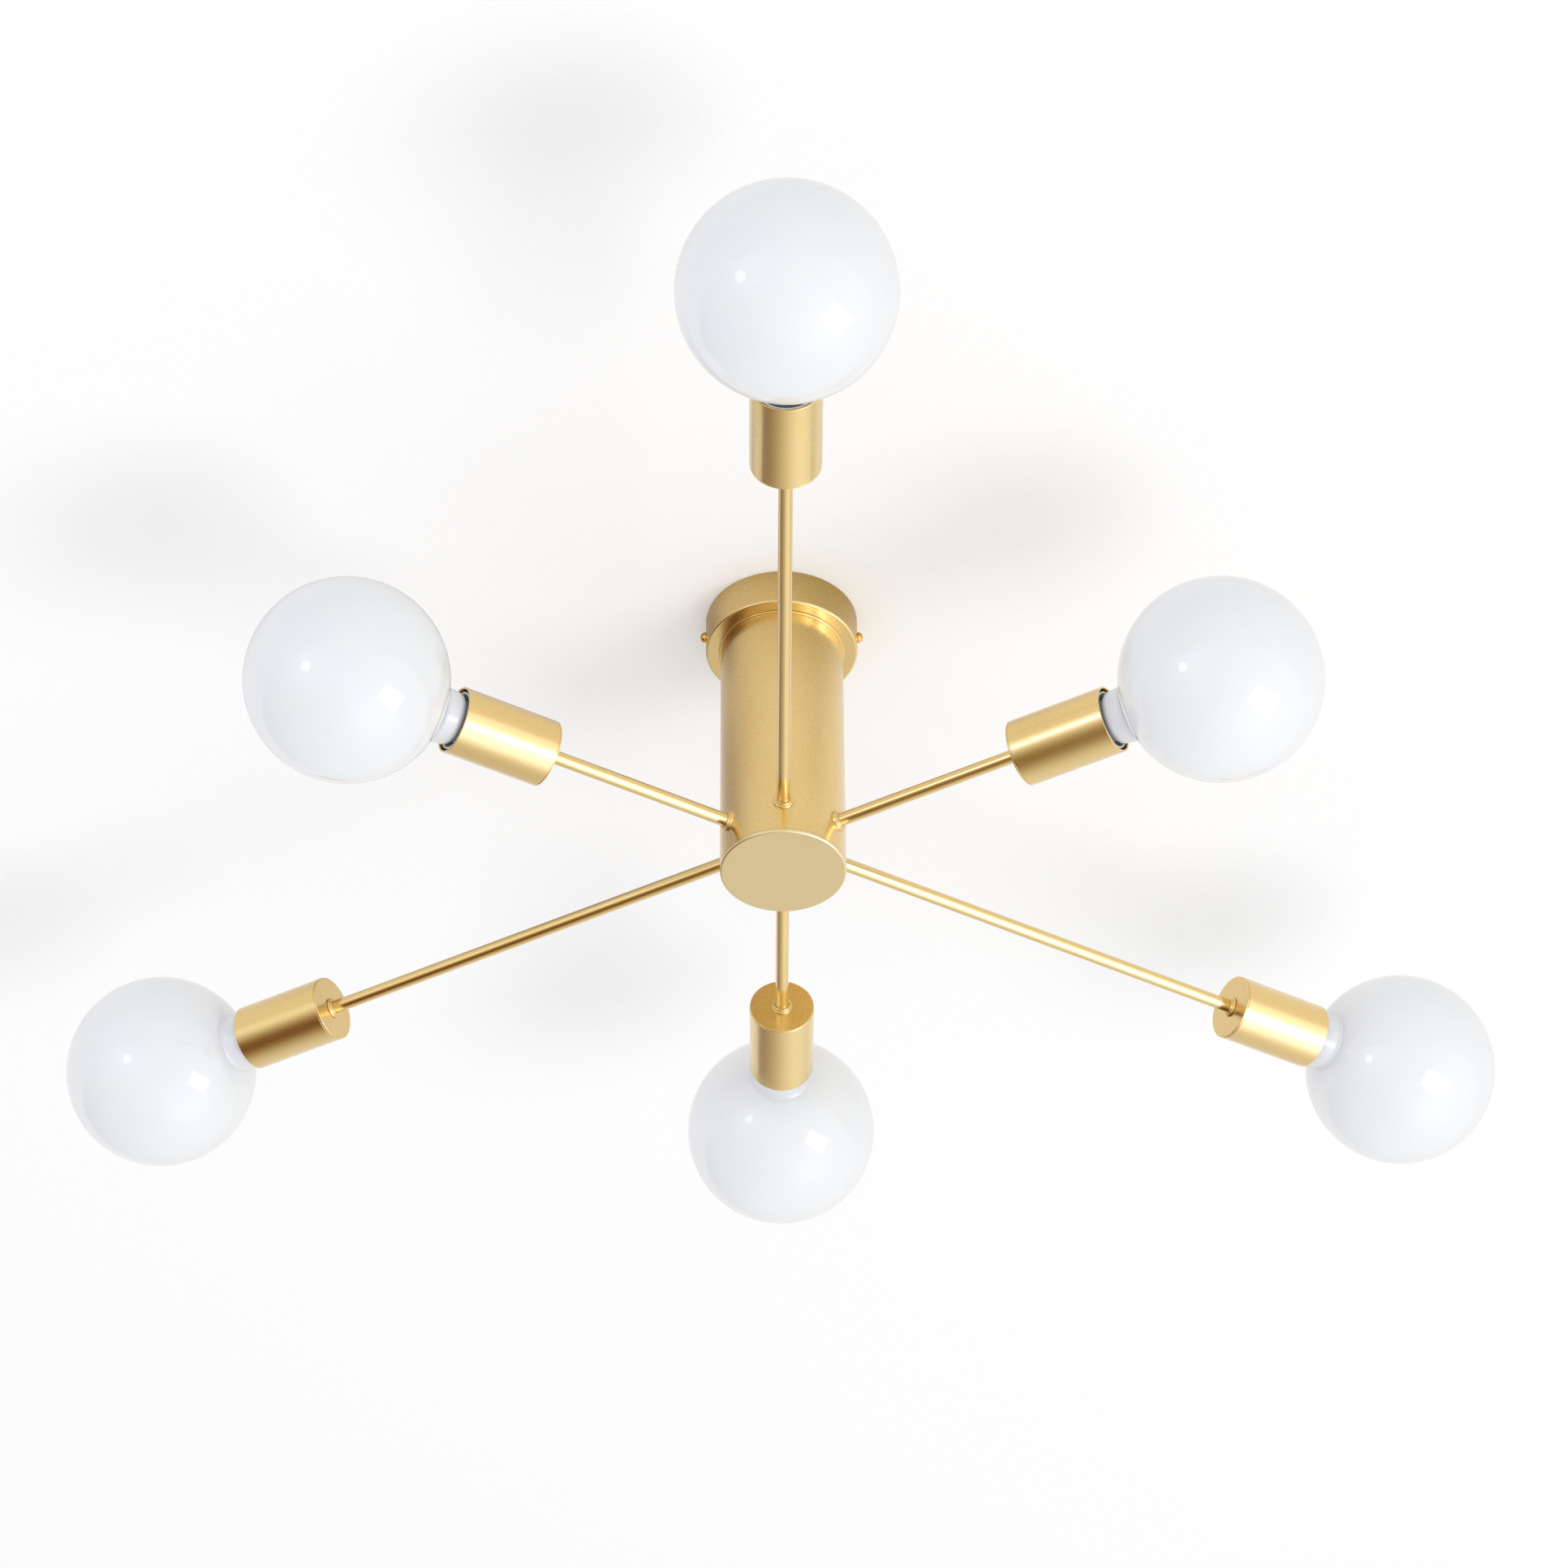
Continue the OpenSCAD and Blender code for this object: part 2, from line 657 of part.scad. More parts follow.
// From the connector down the column, out along arm i and up or down to its terminal at height v
function arm_wire_path(i, side, v) =
    let (r0 = reach(i), up = sign(v), turn = arm_end + holder_bend / 2, run = turn + holder_bend)
    concat(
        [[splice_wire_r, side, splice_z - splice_h / 2 - face_gap]],
        arc(splice_wire_r + wire_bend, arm_z + wire_bend, wire_bend, 180, 270, side),
        [[r0 / 2, side, arm_z]],
        arc(r0 + turn, arm_z + up * holder_bend, holder_bend, -90 * up, 0, side),
        arc(r0 + run + holder_bend, arm_z + v - up * holder_bend, holder_bend, 180, 180 - 90 * up, side),
        [[r0 + insert_floor, side, arm_z + v]]);

// Supply lead from the terminal block, down the threaded tube to the connector
module supply_lead(side) {
    wire(concat(
        [[side * pole_pitch, terminal_y + lead_in_clamp, lead_z],
         [side * pole_pitch, terminal_y - 1, lead_z],
         [side * (wire_side + 1), tube_d / 2, lead_z]],
        [for (a = [90:22.5:180]) [side * wire_side, holder_bend * (1 + cos(a)),
                                  lead_z - holder_bend * (1 - sin(a))]],
        [[side * wire_side, 0, splice_z + splice_h / 2 + face_gap]]), wire_r, [1, 0, 0]);
}

module live_wires() {
    color(brown) {
        supply_lead(-1);
        for (i = [1:arms]) rotate([0, 0, azimuth(i)]) wire(arm_wire_path(i, -wire_side, live_v), wire_r);
    }
}

module neutral_wires() {
    color(blue) {
        supply_lead(1);
        for (i = [1:arms]) rotate([0, 0, azimuth(i)])
            wire(arm_wire_path(i, wire_side, neutral_v), wire_r);
    }
}

// Opal globe: a thin sphere cut at the neck, with a short lip that sits inside the neck
module bulb_globe(i) {
    color(opal) in_cup(i) {
        translate([0, 0, globe_centre]) rotate_extrude() difference() {
            circle(globe_r);
            circle(globe_r - globe_wall);
            translate([-globe_r - 1, -globe_r - 1]) square([globe_r + 1, 2 * globe_r + 2]);
            translate([-1, -globe_r - 1]) square([globe_r, globe_r + 1 + neck_seam - globe_centre]);
        }
        ring(globe_lip_r - globe_lip_t, globe_lip_r, neck_seam - globe_lip, neck_seam + 0.4);
    }
}

// White neck: a shell that widens from the screw cap to the globe, and the light board inside it
module bulb_neck(i) {
    straight = 3;
    flare = 7;
    low_r = neck_low_d / 2;
    ledge = board_seat - face_gap;
    ledge_t = 1.5;
    ledge_w = 3;
    inside = globe_lip_r + thread_gap;
    top = neck_seam - seam_gap;
    color(white) in_cup(i) {
        rotate_extrude() {
            polygon([[neck_spigot_r, cap_rim - neck_spigot], [neck_spigot_r, cap_rim + face_gap],
                     [cap_r, cap_rim + face_gap], [cap_r, cap_rim + straight],
                     [low_r, cap_rim + flare], [neck_top_r, top], [inside, top], [inside, ledge],
                     [inside - ledge_w, ledge], [inside - ledge_w, ledge - ledge_t],
                     [inside - neck_wall / 2, ledge - ledge_t],
                     [low_r - neck_wall, cap_rim + flare],
                     [neck_spigot_r - neck_wall, cap_rim + straight],
                     [neck_spigot_r - neck_wall, cap_rim - neck_spigot]]);
        }
        translate([0, 0, board_seat]) cylinder(h = board_t, r = globe_lip_r - globe_lip_t - hole_gap);
    }
}

// Screw cap: rolled-thread shell, insulator and centre contact
module bulb_cap(i) {
    root_r = cap_r - thread_depth;
    wave = [for (k = [0:thread_turns * thread_steps])
        [root_r + thread_depth * (1 - cos(360 * k / thread_steps)) / 2,
         thread_start + k * cap_pitch / thread_steps]];
    outer = concat([[root_r, cap_shell_start]], wave, [[cap_r, cap_rim - 0.6], [cap_r, cap_rim]]);
    inner = [for (k = [len(outer) - 1:-1:0]) outer[k] - [cap_sheet, 0]];
    color(nickel) in_cup(i) {
        rotate_extrude() polygon(concat(outer, inner));
        translate([0, 0, bulb_tip + tip_t + face_gap])
            cylinder(h = insulator_t, r1 = tip_r + 0.5, r2 = root_r);
        translate([0, 0, bulb_tip]) cylinder(h = tip_t, r1 = tip_r - 0.8, r2 = tip_r);
    }
}

ceiling_bracket();
earth_screw();
earth_lead();
canopy();
side_screw_left();
side_screw_right();
terminal_block();
terminal_clamps();
threaded_tube();
threaded_tube_nuts();
column_top_cap();
column_tube();
column_end_cap();
column_collars();
column_lock_nuts();
wire_connector();
live_wires();
neutral_wires();
cup_collars();
cup_lock_nuts();
lampholder_inserts();
screw_shells();
centre_contacts();
for (i = [1:arms]) {
    arm(i);
    cup(i);
    lampholder(i);
    bulb_globe(i);
    bulb_neck(i);
    bulb_cap(i);
}
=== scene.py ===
# %% [markdown]
# # Dressing a ceiling light with six round bulbs
# The light is a canopy on the ceiling, a wide column below it, and six level arms, long and short in
# turn. Each arm ends in a cup with a lampholder inside, and each lampholder holds a big opal bulb.
# All of it exists already as a CAD model, true to size. This lesson loads that model as a frame that
# never moves, replaces what the eye sees with rounder, finer pieces, gives every piece a finish, and
# lights it like a product photograph.

import json
import math

import bmesh
import bpy
from mathutils import Matrix, Vector


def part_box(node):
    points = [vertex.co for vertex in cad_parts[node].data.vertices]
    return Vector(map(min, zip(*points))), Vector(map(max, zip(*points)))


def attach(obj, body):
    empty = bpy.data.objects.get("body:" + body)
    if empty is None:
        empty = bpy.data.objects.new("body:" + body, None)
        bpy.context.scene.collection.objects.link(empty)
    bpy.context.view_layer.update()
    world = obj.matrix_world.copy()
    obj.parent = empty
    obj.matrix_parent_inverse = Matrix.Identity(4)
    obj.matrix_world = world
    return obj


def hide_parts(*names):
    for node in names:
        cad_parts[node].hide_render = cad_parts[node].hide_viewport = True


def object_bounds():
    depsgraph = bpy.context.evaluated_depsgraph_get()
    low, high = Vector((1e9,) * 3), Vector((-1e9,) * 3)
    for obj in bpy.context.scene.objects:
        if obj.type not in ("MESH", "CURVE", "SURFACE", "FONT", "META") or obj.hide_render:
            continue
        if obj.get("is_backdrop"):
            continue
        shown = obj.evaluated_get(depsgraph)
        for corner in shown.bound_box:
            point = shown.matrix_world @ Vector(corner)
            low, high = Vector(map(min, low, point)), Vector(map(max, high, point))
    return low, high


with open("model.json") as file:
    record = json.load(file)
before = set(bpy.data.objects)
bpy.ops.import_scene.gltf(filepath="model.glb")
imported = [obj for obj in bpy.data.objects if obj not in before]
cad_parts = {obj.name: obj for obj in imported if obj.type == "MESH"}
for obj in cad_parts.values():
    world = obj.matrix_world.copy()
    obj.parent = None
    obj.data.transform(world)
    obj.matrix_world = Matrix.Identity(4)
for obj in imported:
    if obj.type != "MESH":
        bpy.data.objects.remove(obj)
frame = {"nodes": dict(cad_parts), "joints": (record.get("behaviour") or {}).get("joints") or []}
nodes = frame["nodes"]
cad_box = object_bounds()

# %% [markdown]
# ## Where things are
# The CAD speaks in millimetres and Blender in metres, so one constant turns one into the other.
# Each bulb unscrews along its arm, so the axis of its joint is also the direction of the arm. Odd arms
# are long and even arms are short: the distance from the column's centre to the back of the cup is all
# that differs between them.

# %% The arms' directions and lengths
MM = 0.001
ARM_NUMBERS = range(1, 7)
LONG_REACH, SHORT_REACH = 338, 168
arm_z = sum(corner.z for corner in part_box("arm_1")) / 2 / MM

arm_axis = {}
for joint in frame["joints"]:
    if joint["name"].startswith("bulb_"):
        arm_axis[int(joint["name"].split("_")[1])] = Vector(joint["axis"])


def reach(number):
    return LONG_REACH if number % 2 else SHORT_REACH


for number in ARM_NUMBERS:
    angle = math.degrees(math.atan2(arm_axis[number].y, arm_axis[number].x))
    print("arm", number, "points to", round(angle), "degrees and is", reach(number), "mm to its cup")


# %% [markdown]
# A turned piece is drawn standing up, round its own Z axis. This matrix lays it down along an arm: its
# Z points out, and its X points down to the floor. Cups and all that is in them start at the same place.

# %% A place along an arm
def along_arm(number, distance):
    out, down = arm_axis[number], Vector((0, 0, -1))
    turn = Matrix((down, out.cross(down), out)).transposed().to_4x4()
    return Matrix.Translation(Vector((0, 0, arm_z * MM)) + out * distance * MM) @ turn


def at_cup(number):
    return along_arm(number, reach(number))


print("cup 1 starts at", [round(c / MM) for c in at_cup(1).translation], "mm")

# %% [markdown]
# ## The camera
# The photograph looks up from 2.1 m below the ceiling and 2.3 m in front of the light, with a long
# lens, so the light fills the picture without much perspective. A Blender camera looks along its own
# -Z. Turning it about X by 90 degrees plus the pitch makes it look up, Z turns it sideways, and the
# first turn about its own Z rolls the picture.

# %% Place the camera
CAMERA_PLACE = Vector((-21.44, -2346.74, -2142.37)) * MM
CAMERA_PAN, CAMERA_PITCH, CAMERA_ROLL = 0.5367, 40.5019, -0.4093
LENS_MM, SIGHT_M = 112.13, 50

camera_data = bpy.data.cameras.new("camera")
camera_data.lens = LENS_MM
camera_data.clip_end = SIGHT_M
camera = bpy.data.objects.new("camera", camera_data)
bpy.context.scene.collection.objects.link(camera)
camera.matrix_world = (
    Matrix.Translation(CAMERA_PLACE)
    @ Matrix.Rotation(math.radians(-CAMERA_PAN), 4, "Z")
    @ Matrix.Rotation(math.radians(90 + CAMERA_PITCH), 4, "X")
    @ Matrix.Rotation(math.radians(CAMERA_ROLL), 4, "Z")
)
bpy.context.scene.camera = camera
bpy.context.scene.view_settings.view_transform = "Standard"
print("camera", round(CAMERA_PLACE.length, 2), "m from the middle of the canopy's rim")

# %% [markdown]
# ## Small helpers for materials
# Colours are written as the hex values that a paint program shows. The shader wants linear light, and
# this function does the conversion. The second helper adds one node: a key that names an input sets
# that input, any other key sets a property, and links join inputs to the outputs of earlier nodes.

# %% Colour and node helpers
def linear(hex_colour):
    shown = [int(hex_colour[i:i + 2], 16) / 255 for i in (1, 3, 5)]
    light = [c / 12.92 if c <= 0.04045 else ((c + 0.055) / 1.055) ** 2.4 for c in shown]
    return (*light, 1.0)


def add(tree, kind, settings=None, links=None):
    node = tree.nodes.new(kind)
    for key, value in (settings or {}).items():
        if isinstance(key, int) or key in node.inputs:
            node.inputs[key].default_value = value
        else:
            setattr(node, key, value)
    for key, output in (links or {}).items():
        tree.links.new(output, node.inputs[key])
    return node


def new_material(name):
    material = bpy.data.materials.new(name)
    material.use_nodes = True
    material.node_tree.nodes.clear()
    return material, material.node_tree


print("#808080 is", round(linear("#808080")[0], 3), "in linear light")

# %% [markdown]
# ## Satin gold
# The metal parts are steel and brass, brushed, plated in gold colour and lacquered. Brushing leaves a
# fine grain that spreads every reflection into a soft band. The lacquer adds a thin, clearer shine of
# its own, so that the lamp's reflection turns almost white. A metal takes its colour from its
# reflection, so the base colour is that of the plating in full light, and dark surroundings make it
# look deep brown.
#
# The real grain is 0.1 to 0.2 mm wide, finer than a pixel here, so it is drawn 0.9 mm wide, shallow.
# A slow cloud of 60 mm makes the plating a little lighter and darker, as hand brushing does.
#
# The canopy, column and cups are brushed all over. The arms are drawn tube, smoother, with a narrower
# streak of light. The end cap is brushed straight across, which spreads its shine wide, and its gold is
# painted paler as a painted sheen. The heads of the side screws are polished, so they are deeper in
# colour and mirror the studio.

# %% Make the gold finishes
GOLD_LIGHT, GOLD_DEEP = "#E9CE8D", "#E2C47D"
GRAIN_MM, GRAIN_DEPTH_MM, GRAIN_STRENGTH, CLOUD_MM = 0.9, 0.04, 0.08, 60.0
ROUGHNESS_SPREAD, LACQUER_ROUGHNESS, LACQUER_IOR = 0.05, 0.16, 1.5


def satin_gold(name, roughness, light=GOLD_LIGHT, deep=GOLD_DEEP, stretch=(1, 1, 1), coat=0.8):
    material, tree = new_material(name)
    place = add(tree, "ShaderNodeTexCoord")
    along = add(tree, "ShaderNodeMapping", {"Scale": stretch}, {"Vector": place.outputs["Object"]})
    grain = add(tree, "ShaderNodeTexNoise", {"Scale": 1 / (GRAIN_MM * MM), "Detail": 2.0},
                {"Vector": along.outputs["Vector"]})
    cloud = add(tree, "ShaderNodeTexNoise", {"Scale": 1 / (CLOUD_MM * MM), "Detail": 1.0},
                {"Vector": place.outputs["Object"]})
    colour = add(tree, "ShaderNodeMix", {"data_type": "RGBA", 6: linear(deep), 7: linear(light)},
                 {0: cloud.outputs["Fac"]})
    rough = add(tree, "ShaderNodeMapRange",
                {"To Min": roughness - ROUGHNESS_SPREAD, "To Max": roughness + ROUGHNESS_SPREAD},
                {"Value": grain.outputs["Fac"]})
    bump = add(tree, "ShaderNodeBump", {"Strength": GRAIN_STRENGTH, "Distance": GRAIN_DEPTH_MM * MM},
               {"Height": grain.outputs["Fac"]})
    shader = add(tree, "ShaderNodeBsdfPrincipled",
                 {"Metallic": 1.0, "Coat Weight": coat, "Coat Roughness": LACQUER_ROUGHNESS,
                  "Coat IOR": LACQUER_IOR},
                 {"Base Color": colour.outputs[2], "Roughness": rough.outputs["Result"],
                  "Normal": bump.outputs["Normal"]})
    add(tree, "ShaderNodeOutputMaterial", None, {"Surface": shader.outputs["BSDF"]})
    return material


gold = satin_gold("brushed_gold_plate_lacquered", 0.27)
gold_tube = satin_gold("smooth_gold_plated_tube", 0.18)
# the end cap's paler, whiter gold is a painted sheen
gold_straight_painted_sheen = satin_gold("straight_brushed_gold_painted_paler", 0.36, "#EAD7A2", "#E4CF98", stretch=(0.08, 1, 1))
gold_polished = satin_gold("polished_gold_plate", 0.09, "#EFBE5E", "#E4AE4C", coat=0.5)
print("gold finishes:", gold.name, gold_tube.name, gold_straight_painted_sheen.name, gold_polished.name)

# %% [markdown]
# ## Opal glass, white plastics and the hidden metals
# The globes are blown glass with a milky layer: the milk gives a soft white body and the clear outer
# skin a sharp reflection. Blown glass is never quite even, so a slow wave 35 mm long bends its
# reflections a little. The bulbs' necks are injection-moulded polycarbonate with a fine spark-eroded
# texture. The lampholders are moulded in a whiter plastic, a little more matt. Zinc-plated steel, brass
# and nickel are metals in their usual colours, and the sleeves and skirts round the bulbs' caps have a
# dull grey zinc coating. The wires' insulation is extruded and satin, and the light chips are yellow.
# All of them are one fine-grained recipe with other colours, grain and shine.

# %% Make the other finishes
BUMP_STRENGTH, SHINE_SPREAD = 0.3, 0.15


def fine_grained(name, low, high, grain_mm, roughness, bump_mm, settings=None):
    material, tree = new_material(name)
    place = add(tree, "ShaderNodeTexCoord")
    grain = add(tree, "ShaderNodeTexNoise", {"Scale": 1 / (grain_mm * MM), "Detail": 2.0},
                {"Vector": place.outputs["Object"]})
    colour = add(tree, "ShaderNodeMix", {"data_type": "RGBA", 6: linear(low), 7: linear(high)},
                 {0: grain.outputs["Fac"]})
    rough = add(tree, "ShaderNodeMapRange",
                {"To Min": roughness * (1 - SHINE_SPREAD), "To Max": roughness * (1 + SHINE_SPREAD)},
                {"Value": grain.outputs["Fac"]})
    bump = add(tree, "ShaderNodeBump", {"Strength": BUMP_STRENGTH, "Distance": bump_mm * MM},
               {"Height": grain.outputs["Fac"]})
    shader = add(tree, "ShaderNodeBsdfPrincipled", settings,
                 {"Base Color": colour.outputs[2], "Roughness": rough.outputs["Result"],
                  "Normal": bump.outputs["Normal"]})
    add(tree, "ShaderNodeOutputMaterial", None, {"Surface": shader.outputs["BSDF"]})
    return material


opal = fine_grained("opal_glass", "#EEF0F2", "#F2F4F6", 35, 0.05, 0.04, {"IOR": 1.5})
neck_plastic = fine_grained("moulded_polycarbonate", "#E6E7EB", "#EAEBEF", 0.8, 0.20, 0.01, {"IOR": 1.58})
holder_plastic = fine_grained("moulded_white_plastic", "#F2F1EC", "#F6F5F1", 0.9, 0.28, 0.01, {"IOR": 1.5})
zinc = fine_grained("zinc_plated_steel", "#A9AEB4", "#BCC0C4", 6, 0.34, 0.01, {"Metallic": 1.0})
brass = fine_grained("turned_brass", "#C49A48", "#D2AA58", 3, 0.28, 0.01, {"Metallic": 1.0})
nickel = fine_grained("nickel_plated_steel", "#8E8E8C", "#A6A6A2", 2, 0.30, 0.01, {"Metallic": 1.0})
sleeve_zinc = fine_grained("dull_grey_zinc_coating", "#B0BAC4", "#BCC6D0", 2, 0.50, 0.01)
brown_pvc = fine_grained("brown_wire_insulation", "#5E4030", "#6B4A36", 2, 0.4, 0.01)
blue_pvc = fine_grained("blue_wire_insulation", "#2F5F9C", "#3A6CAA", 2, 0.4, 0.01)
green_pvc = fine_grained("green_wire_insulation", "#4E8C34", "#5C9A40", 2, 0.4, 0.01)
chip_yellow = fine_grained("light_chip_phosphor", "#E8C83C", "#F0D450", 1, 0.5, 0.01)
print(len(bpy.data.materials), "materials so far")

# %% [markdown]
# ## Finishes for the CAD nodes that stay
# Where the CAD's own shape is right, it stays and only takes a finish: the plain tubes, and everything
# inside the canopy, the column and the lampholders.

# %% Dress the CAD nodes
kept = {
    "column_tube": gold, "threaded_tube": zinc, "threaded_tube_nuts": zinc, "ceiling_bracket": zinc,
    "column_lock_nuts": zinc, "cup_lock_nuts": zinc, "earth_screw": brass, "terminal_clamps": brass,
    "centre_contacts": brass, "screw_shells": nickel, "terminal_block": holder_plastic,
    "wire_connector": holder_plastic, "lampholder_inserts": holder_plastic, "live_wires": brown_pvc,
    "neutral_wires": blue_pvc, "earth_lead": green_pvc,
}
kept.update({f"arm_{number}": gold_tube for number in ARM_NUMBERS})
for name, material in kept.items():
    nodes[name].data.materials.clear()
    nodes[name].data.materials.append(material)
print(len(kept), "CAD nodes dressed")

# %% [markdown]
# ## A lathe in code
# Nearly every visible part of this light is turned, spun or blown: one outline swept round an axis. So
# one helper makes them all. It draws the outline as a chain of points, each with its own rounding,
# rounds each corner with a bevel, spins the chain a full turn and closes the seam. Real sheet edges are
# never sharp, and it is these small roundings that catch the light.
#
# A long face next to a tight rounding shades badly, because the shading is blended from corner to
# corner. A holding point close to each end of a long line keeps the blend short.

# %% Spin an outline into a piece
HOLD_MM, WIDE_ROUNDING_MM = 0.35, 0.8
LONG_LINE = 8 * HOLD_MM * MM
STILL_LONG = 0.8 * LONG_LINE


def hold_long_lines(bm):
    for edge in [e for e in bm.edges if e.calc_length() > LONG_LINE]:
        first, second = edge.verts
        length = edge.calc_length() / MM
        rest, _ = bmesh.utils.edge_split(edge, first, HOLD_MM / length)
        for part in second.link_edges:
            if part.calc_length() > STILL_LONG and (part is rest or part is edge):
                bmesh.utils.edge_split(part, second, HOLD_MM / (part.calc_length() / MM))
                break


def spin_outline(outline, steps, loop=True):
    """outline: (radius, height, rounding) in mm, in order. loop joins the last point to the first."""
    bm = bmesh.new()
    points = [bm.verts.new((radius * MM, 0, height * MM)) for radius, height, _ in outline]
    for first, second in zip(points, points[1:] + (points[:1] if loop else [])):
        bm.edges.new((first, second))
    for point, (_, _, rounding) in zip(points, outline):
        if rounding:
            segments = 5 if rounding >= WIDE_ROUNDING_MM else 3
            bmesh.ops.bevel(bm, geom=[point], offset=rounding * MM, offset_type="OFFSET",
                            affect="VERTICES", segments=segments, profile=0.5, clamp_overlap=True,
                            material=-1)
    hold_long_lines(bm)
    bmesh.ops.spin(bm, geom=bm.verts[:] + bm.edges[:], axis=(0, 0, 1), cent=(0, 0, 0),
                   dvec=(0, 0, 0), angle=math.tau, steps=steps, use_merge=True)
    bmesh.ops.remove_doubles(bm, verts=bm.verts, dist=1e-6)
    bmesh.ops.recalc_face_normals(bm, faces=bm.faces)
    return bm


# %% [markdown]
# The second half of the lathe puts the mesh in its place, makes it an object, hides the CAD nodes it
# stands for, hangs it on the body it moves with and gives it its finish. The place goes into the mesh
# itself, so every object stays at the origin, as the CAD nodes do. Edges sharper than 40 degrees stay
# crisp, and the rest is shaded smooth.

# %% Finish a piece
SHARP_ANGLE = math.radians(40)
made = []


def finish_piece(bm, name, place, material, body, stands_for=()):
    bm.transform(place)
    mesh = bpy.data.meshes.new(name)
    bm.to_mesh(mesh)
    bm.free()
    mesh.polygons.foreach_set("use_smooth", [True] * len(mesh.polygons))
    mesh.set_sharp_from_angle(angle=SHARP_ANGLE)
    mesh.materials.append(material)
    piece = bpy.data.objects.new(name, mesh)
    bpy.context.scene.collection.objects.link(piece)
    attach(piece, body)
    if stands_for:
        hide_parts(*stands_for)
    made.append(piece)
    return piece


def size_of(piece):
    corners = [v.co for v in piece.data.vertices]
    return [round((max(c[k] for c in corners) - min(c[k] for c in corners)) / MM, 1) for k in range(3)]


HERE = Matrix.Identity(4)

# %% [markdown]
# ## The canopy
# A cap spun from 1 mm sheet steel: a skirt 26 mm high, with a rounded lower edge and a raw rim at the
# ceiling. Two screws hold it through holes in its skirt. A hole through a curved wall is not a turned
# shape, so it is cut with a Boolean modifier, which is then applied.

# %% Make the canopy
CANOPY_R, CANOPY_H, CANOPY_WALL, CENTRE_HOLE_R = 49, 26, 1, 5.1
SCREW_Z, SCREW_HOLE_R, DRILL_LENGTH = -13, 2.25, 110

bm = spin_outline([
    (CENTRE_HOLE_R, -CANOPY_H, 0.2), (CANOPY_R, -CANOPY_H, 1.2), (CANOPY_R, 0, 0.25),
    (CANOPY_R - CANOPY_WALL, 0, 0.25), (CANOPY_R - CANOPY_WALL, CANOPY_WALL - CANOPY_H, 0.6),
    (CENTRE_HOLE_R, CANOPY_WALL - CANOPY_H, 0.2),
], 128)
canopy = finish_piece(bm, "canopy_shell", HERE, gold, "fixture", ["canopy"])

drill = bmesh.new()
across = Matrix.Translation((0, 0, SCREW_Z * MM)) @ Matrix.Rotation(math.pi / 2, 4, "Y")
bmesh.ops.create_cone(drill, cap_ends=True, segments=40, radius1=SCREW_HOLE_R * MM,
                      radius2=SCREW_HOLE_R * MM, depth=DRILL_LENGTH * MM, matrix=across)
drill_mesh = bpy.data.meshes.new("drill")
drill.to_mesh(drill_mesh)
drill.free()
drill_object = bpy.data.objects.new("drill", drill_mesh)
bpy.context.scene.collection.objects.link(drill_object)
cut = canopy.modifiers.new("screw_holes", "BOOLEAN")
cut.operation, cut.solver, cut.object = "DIFFERENCE", "EXACT", drill_object
graph = bpy.context.evaluated_depsgraph_get()
drilled = bpy.data.meshes.new_from_object(canopy.evaluated_get(graph))
canopy.modifiers.clear()
canopy.data = drilled
bpy.data.objects.remove(drill_object)
canopy.data.set_sharp_from_angle(angle=SHARP_ANGLE)
print("canopy", size_of(canopy), "mm,", len(canopy.data.polygons), "faces")

# %% [markdown]
# ## Screws and their threads
# A thread is a ridge that climbs as it goes round. The lathe makes a smooth cylinder with many rings,
# and then every corner moves out by a wave that depends on its height minus how far round it is. The
# wave fades out at both ends, as a rolled thread does. The same helper cuts the screw caps' thread.

# %% Roll a thread
def roll_thread(bm, low, high, pitch, depth, fade, inside=0.0):
    """Corners between low and high (mm) move out by up to depth; inside is the smallest radius moved."""
    for vert in bm.verts:
        height, radius = vert.co.z / MM, math.hypot(vert.co.x, vert.co.y) / MM
        if low < height < high and radius > inside:
            turn = math.atan2(vert.co.y, vert.co.x) / math.tau
            wave = 0.5 - 0.5 * math.cos(math.tau * (height / pitch - turn))
            strength = min(1, (height - low) / fade, (high - height) / fade)
            grown = 1 + depth * wave * strength / radius
            vert.co.x *= grown
            vert.co.y *= grown


def rings(radius, low, high, spacing):
    count = max(2, round(abs(high - low) / spacing))
    return [(radius, low + (high - low) * k / count, 0) for k in range(count + 1)]


# %% [markdown]
# The two side screws have polished, domed heads that are gripped with the fingers. The dome is part of
# a ball. Its radius follows from the head's width and height, and the outline takes points on its arc.

# %% Make the side screws
HEAD_R, HEAD_RIM, HEAD_H, HEAD_GAP, DOME_STEPS = 3.5, 1.2, 3.6, 0.05, 8
SHANK_R, POINT_R, SHANK, PLAIN_SHANK = 2.0, 1.2, 9.0, 0.4
SCREW_PITCH, SCREW_DEPTH, SCREW_FADE, SCREW_RING_GAP = 0.7, 0.35, 0.6, 0.12


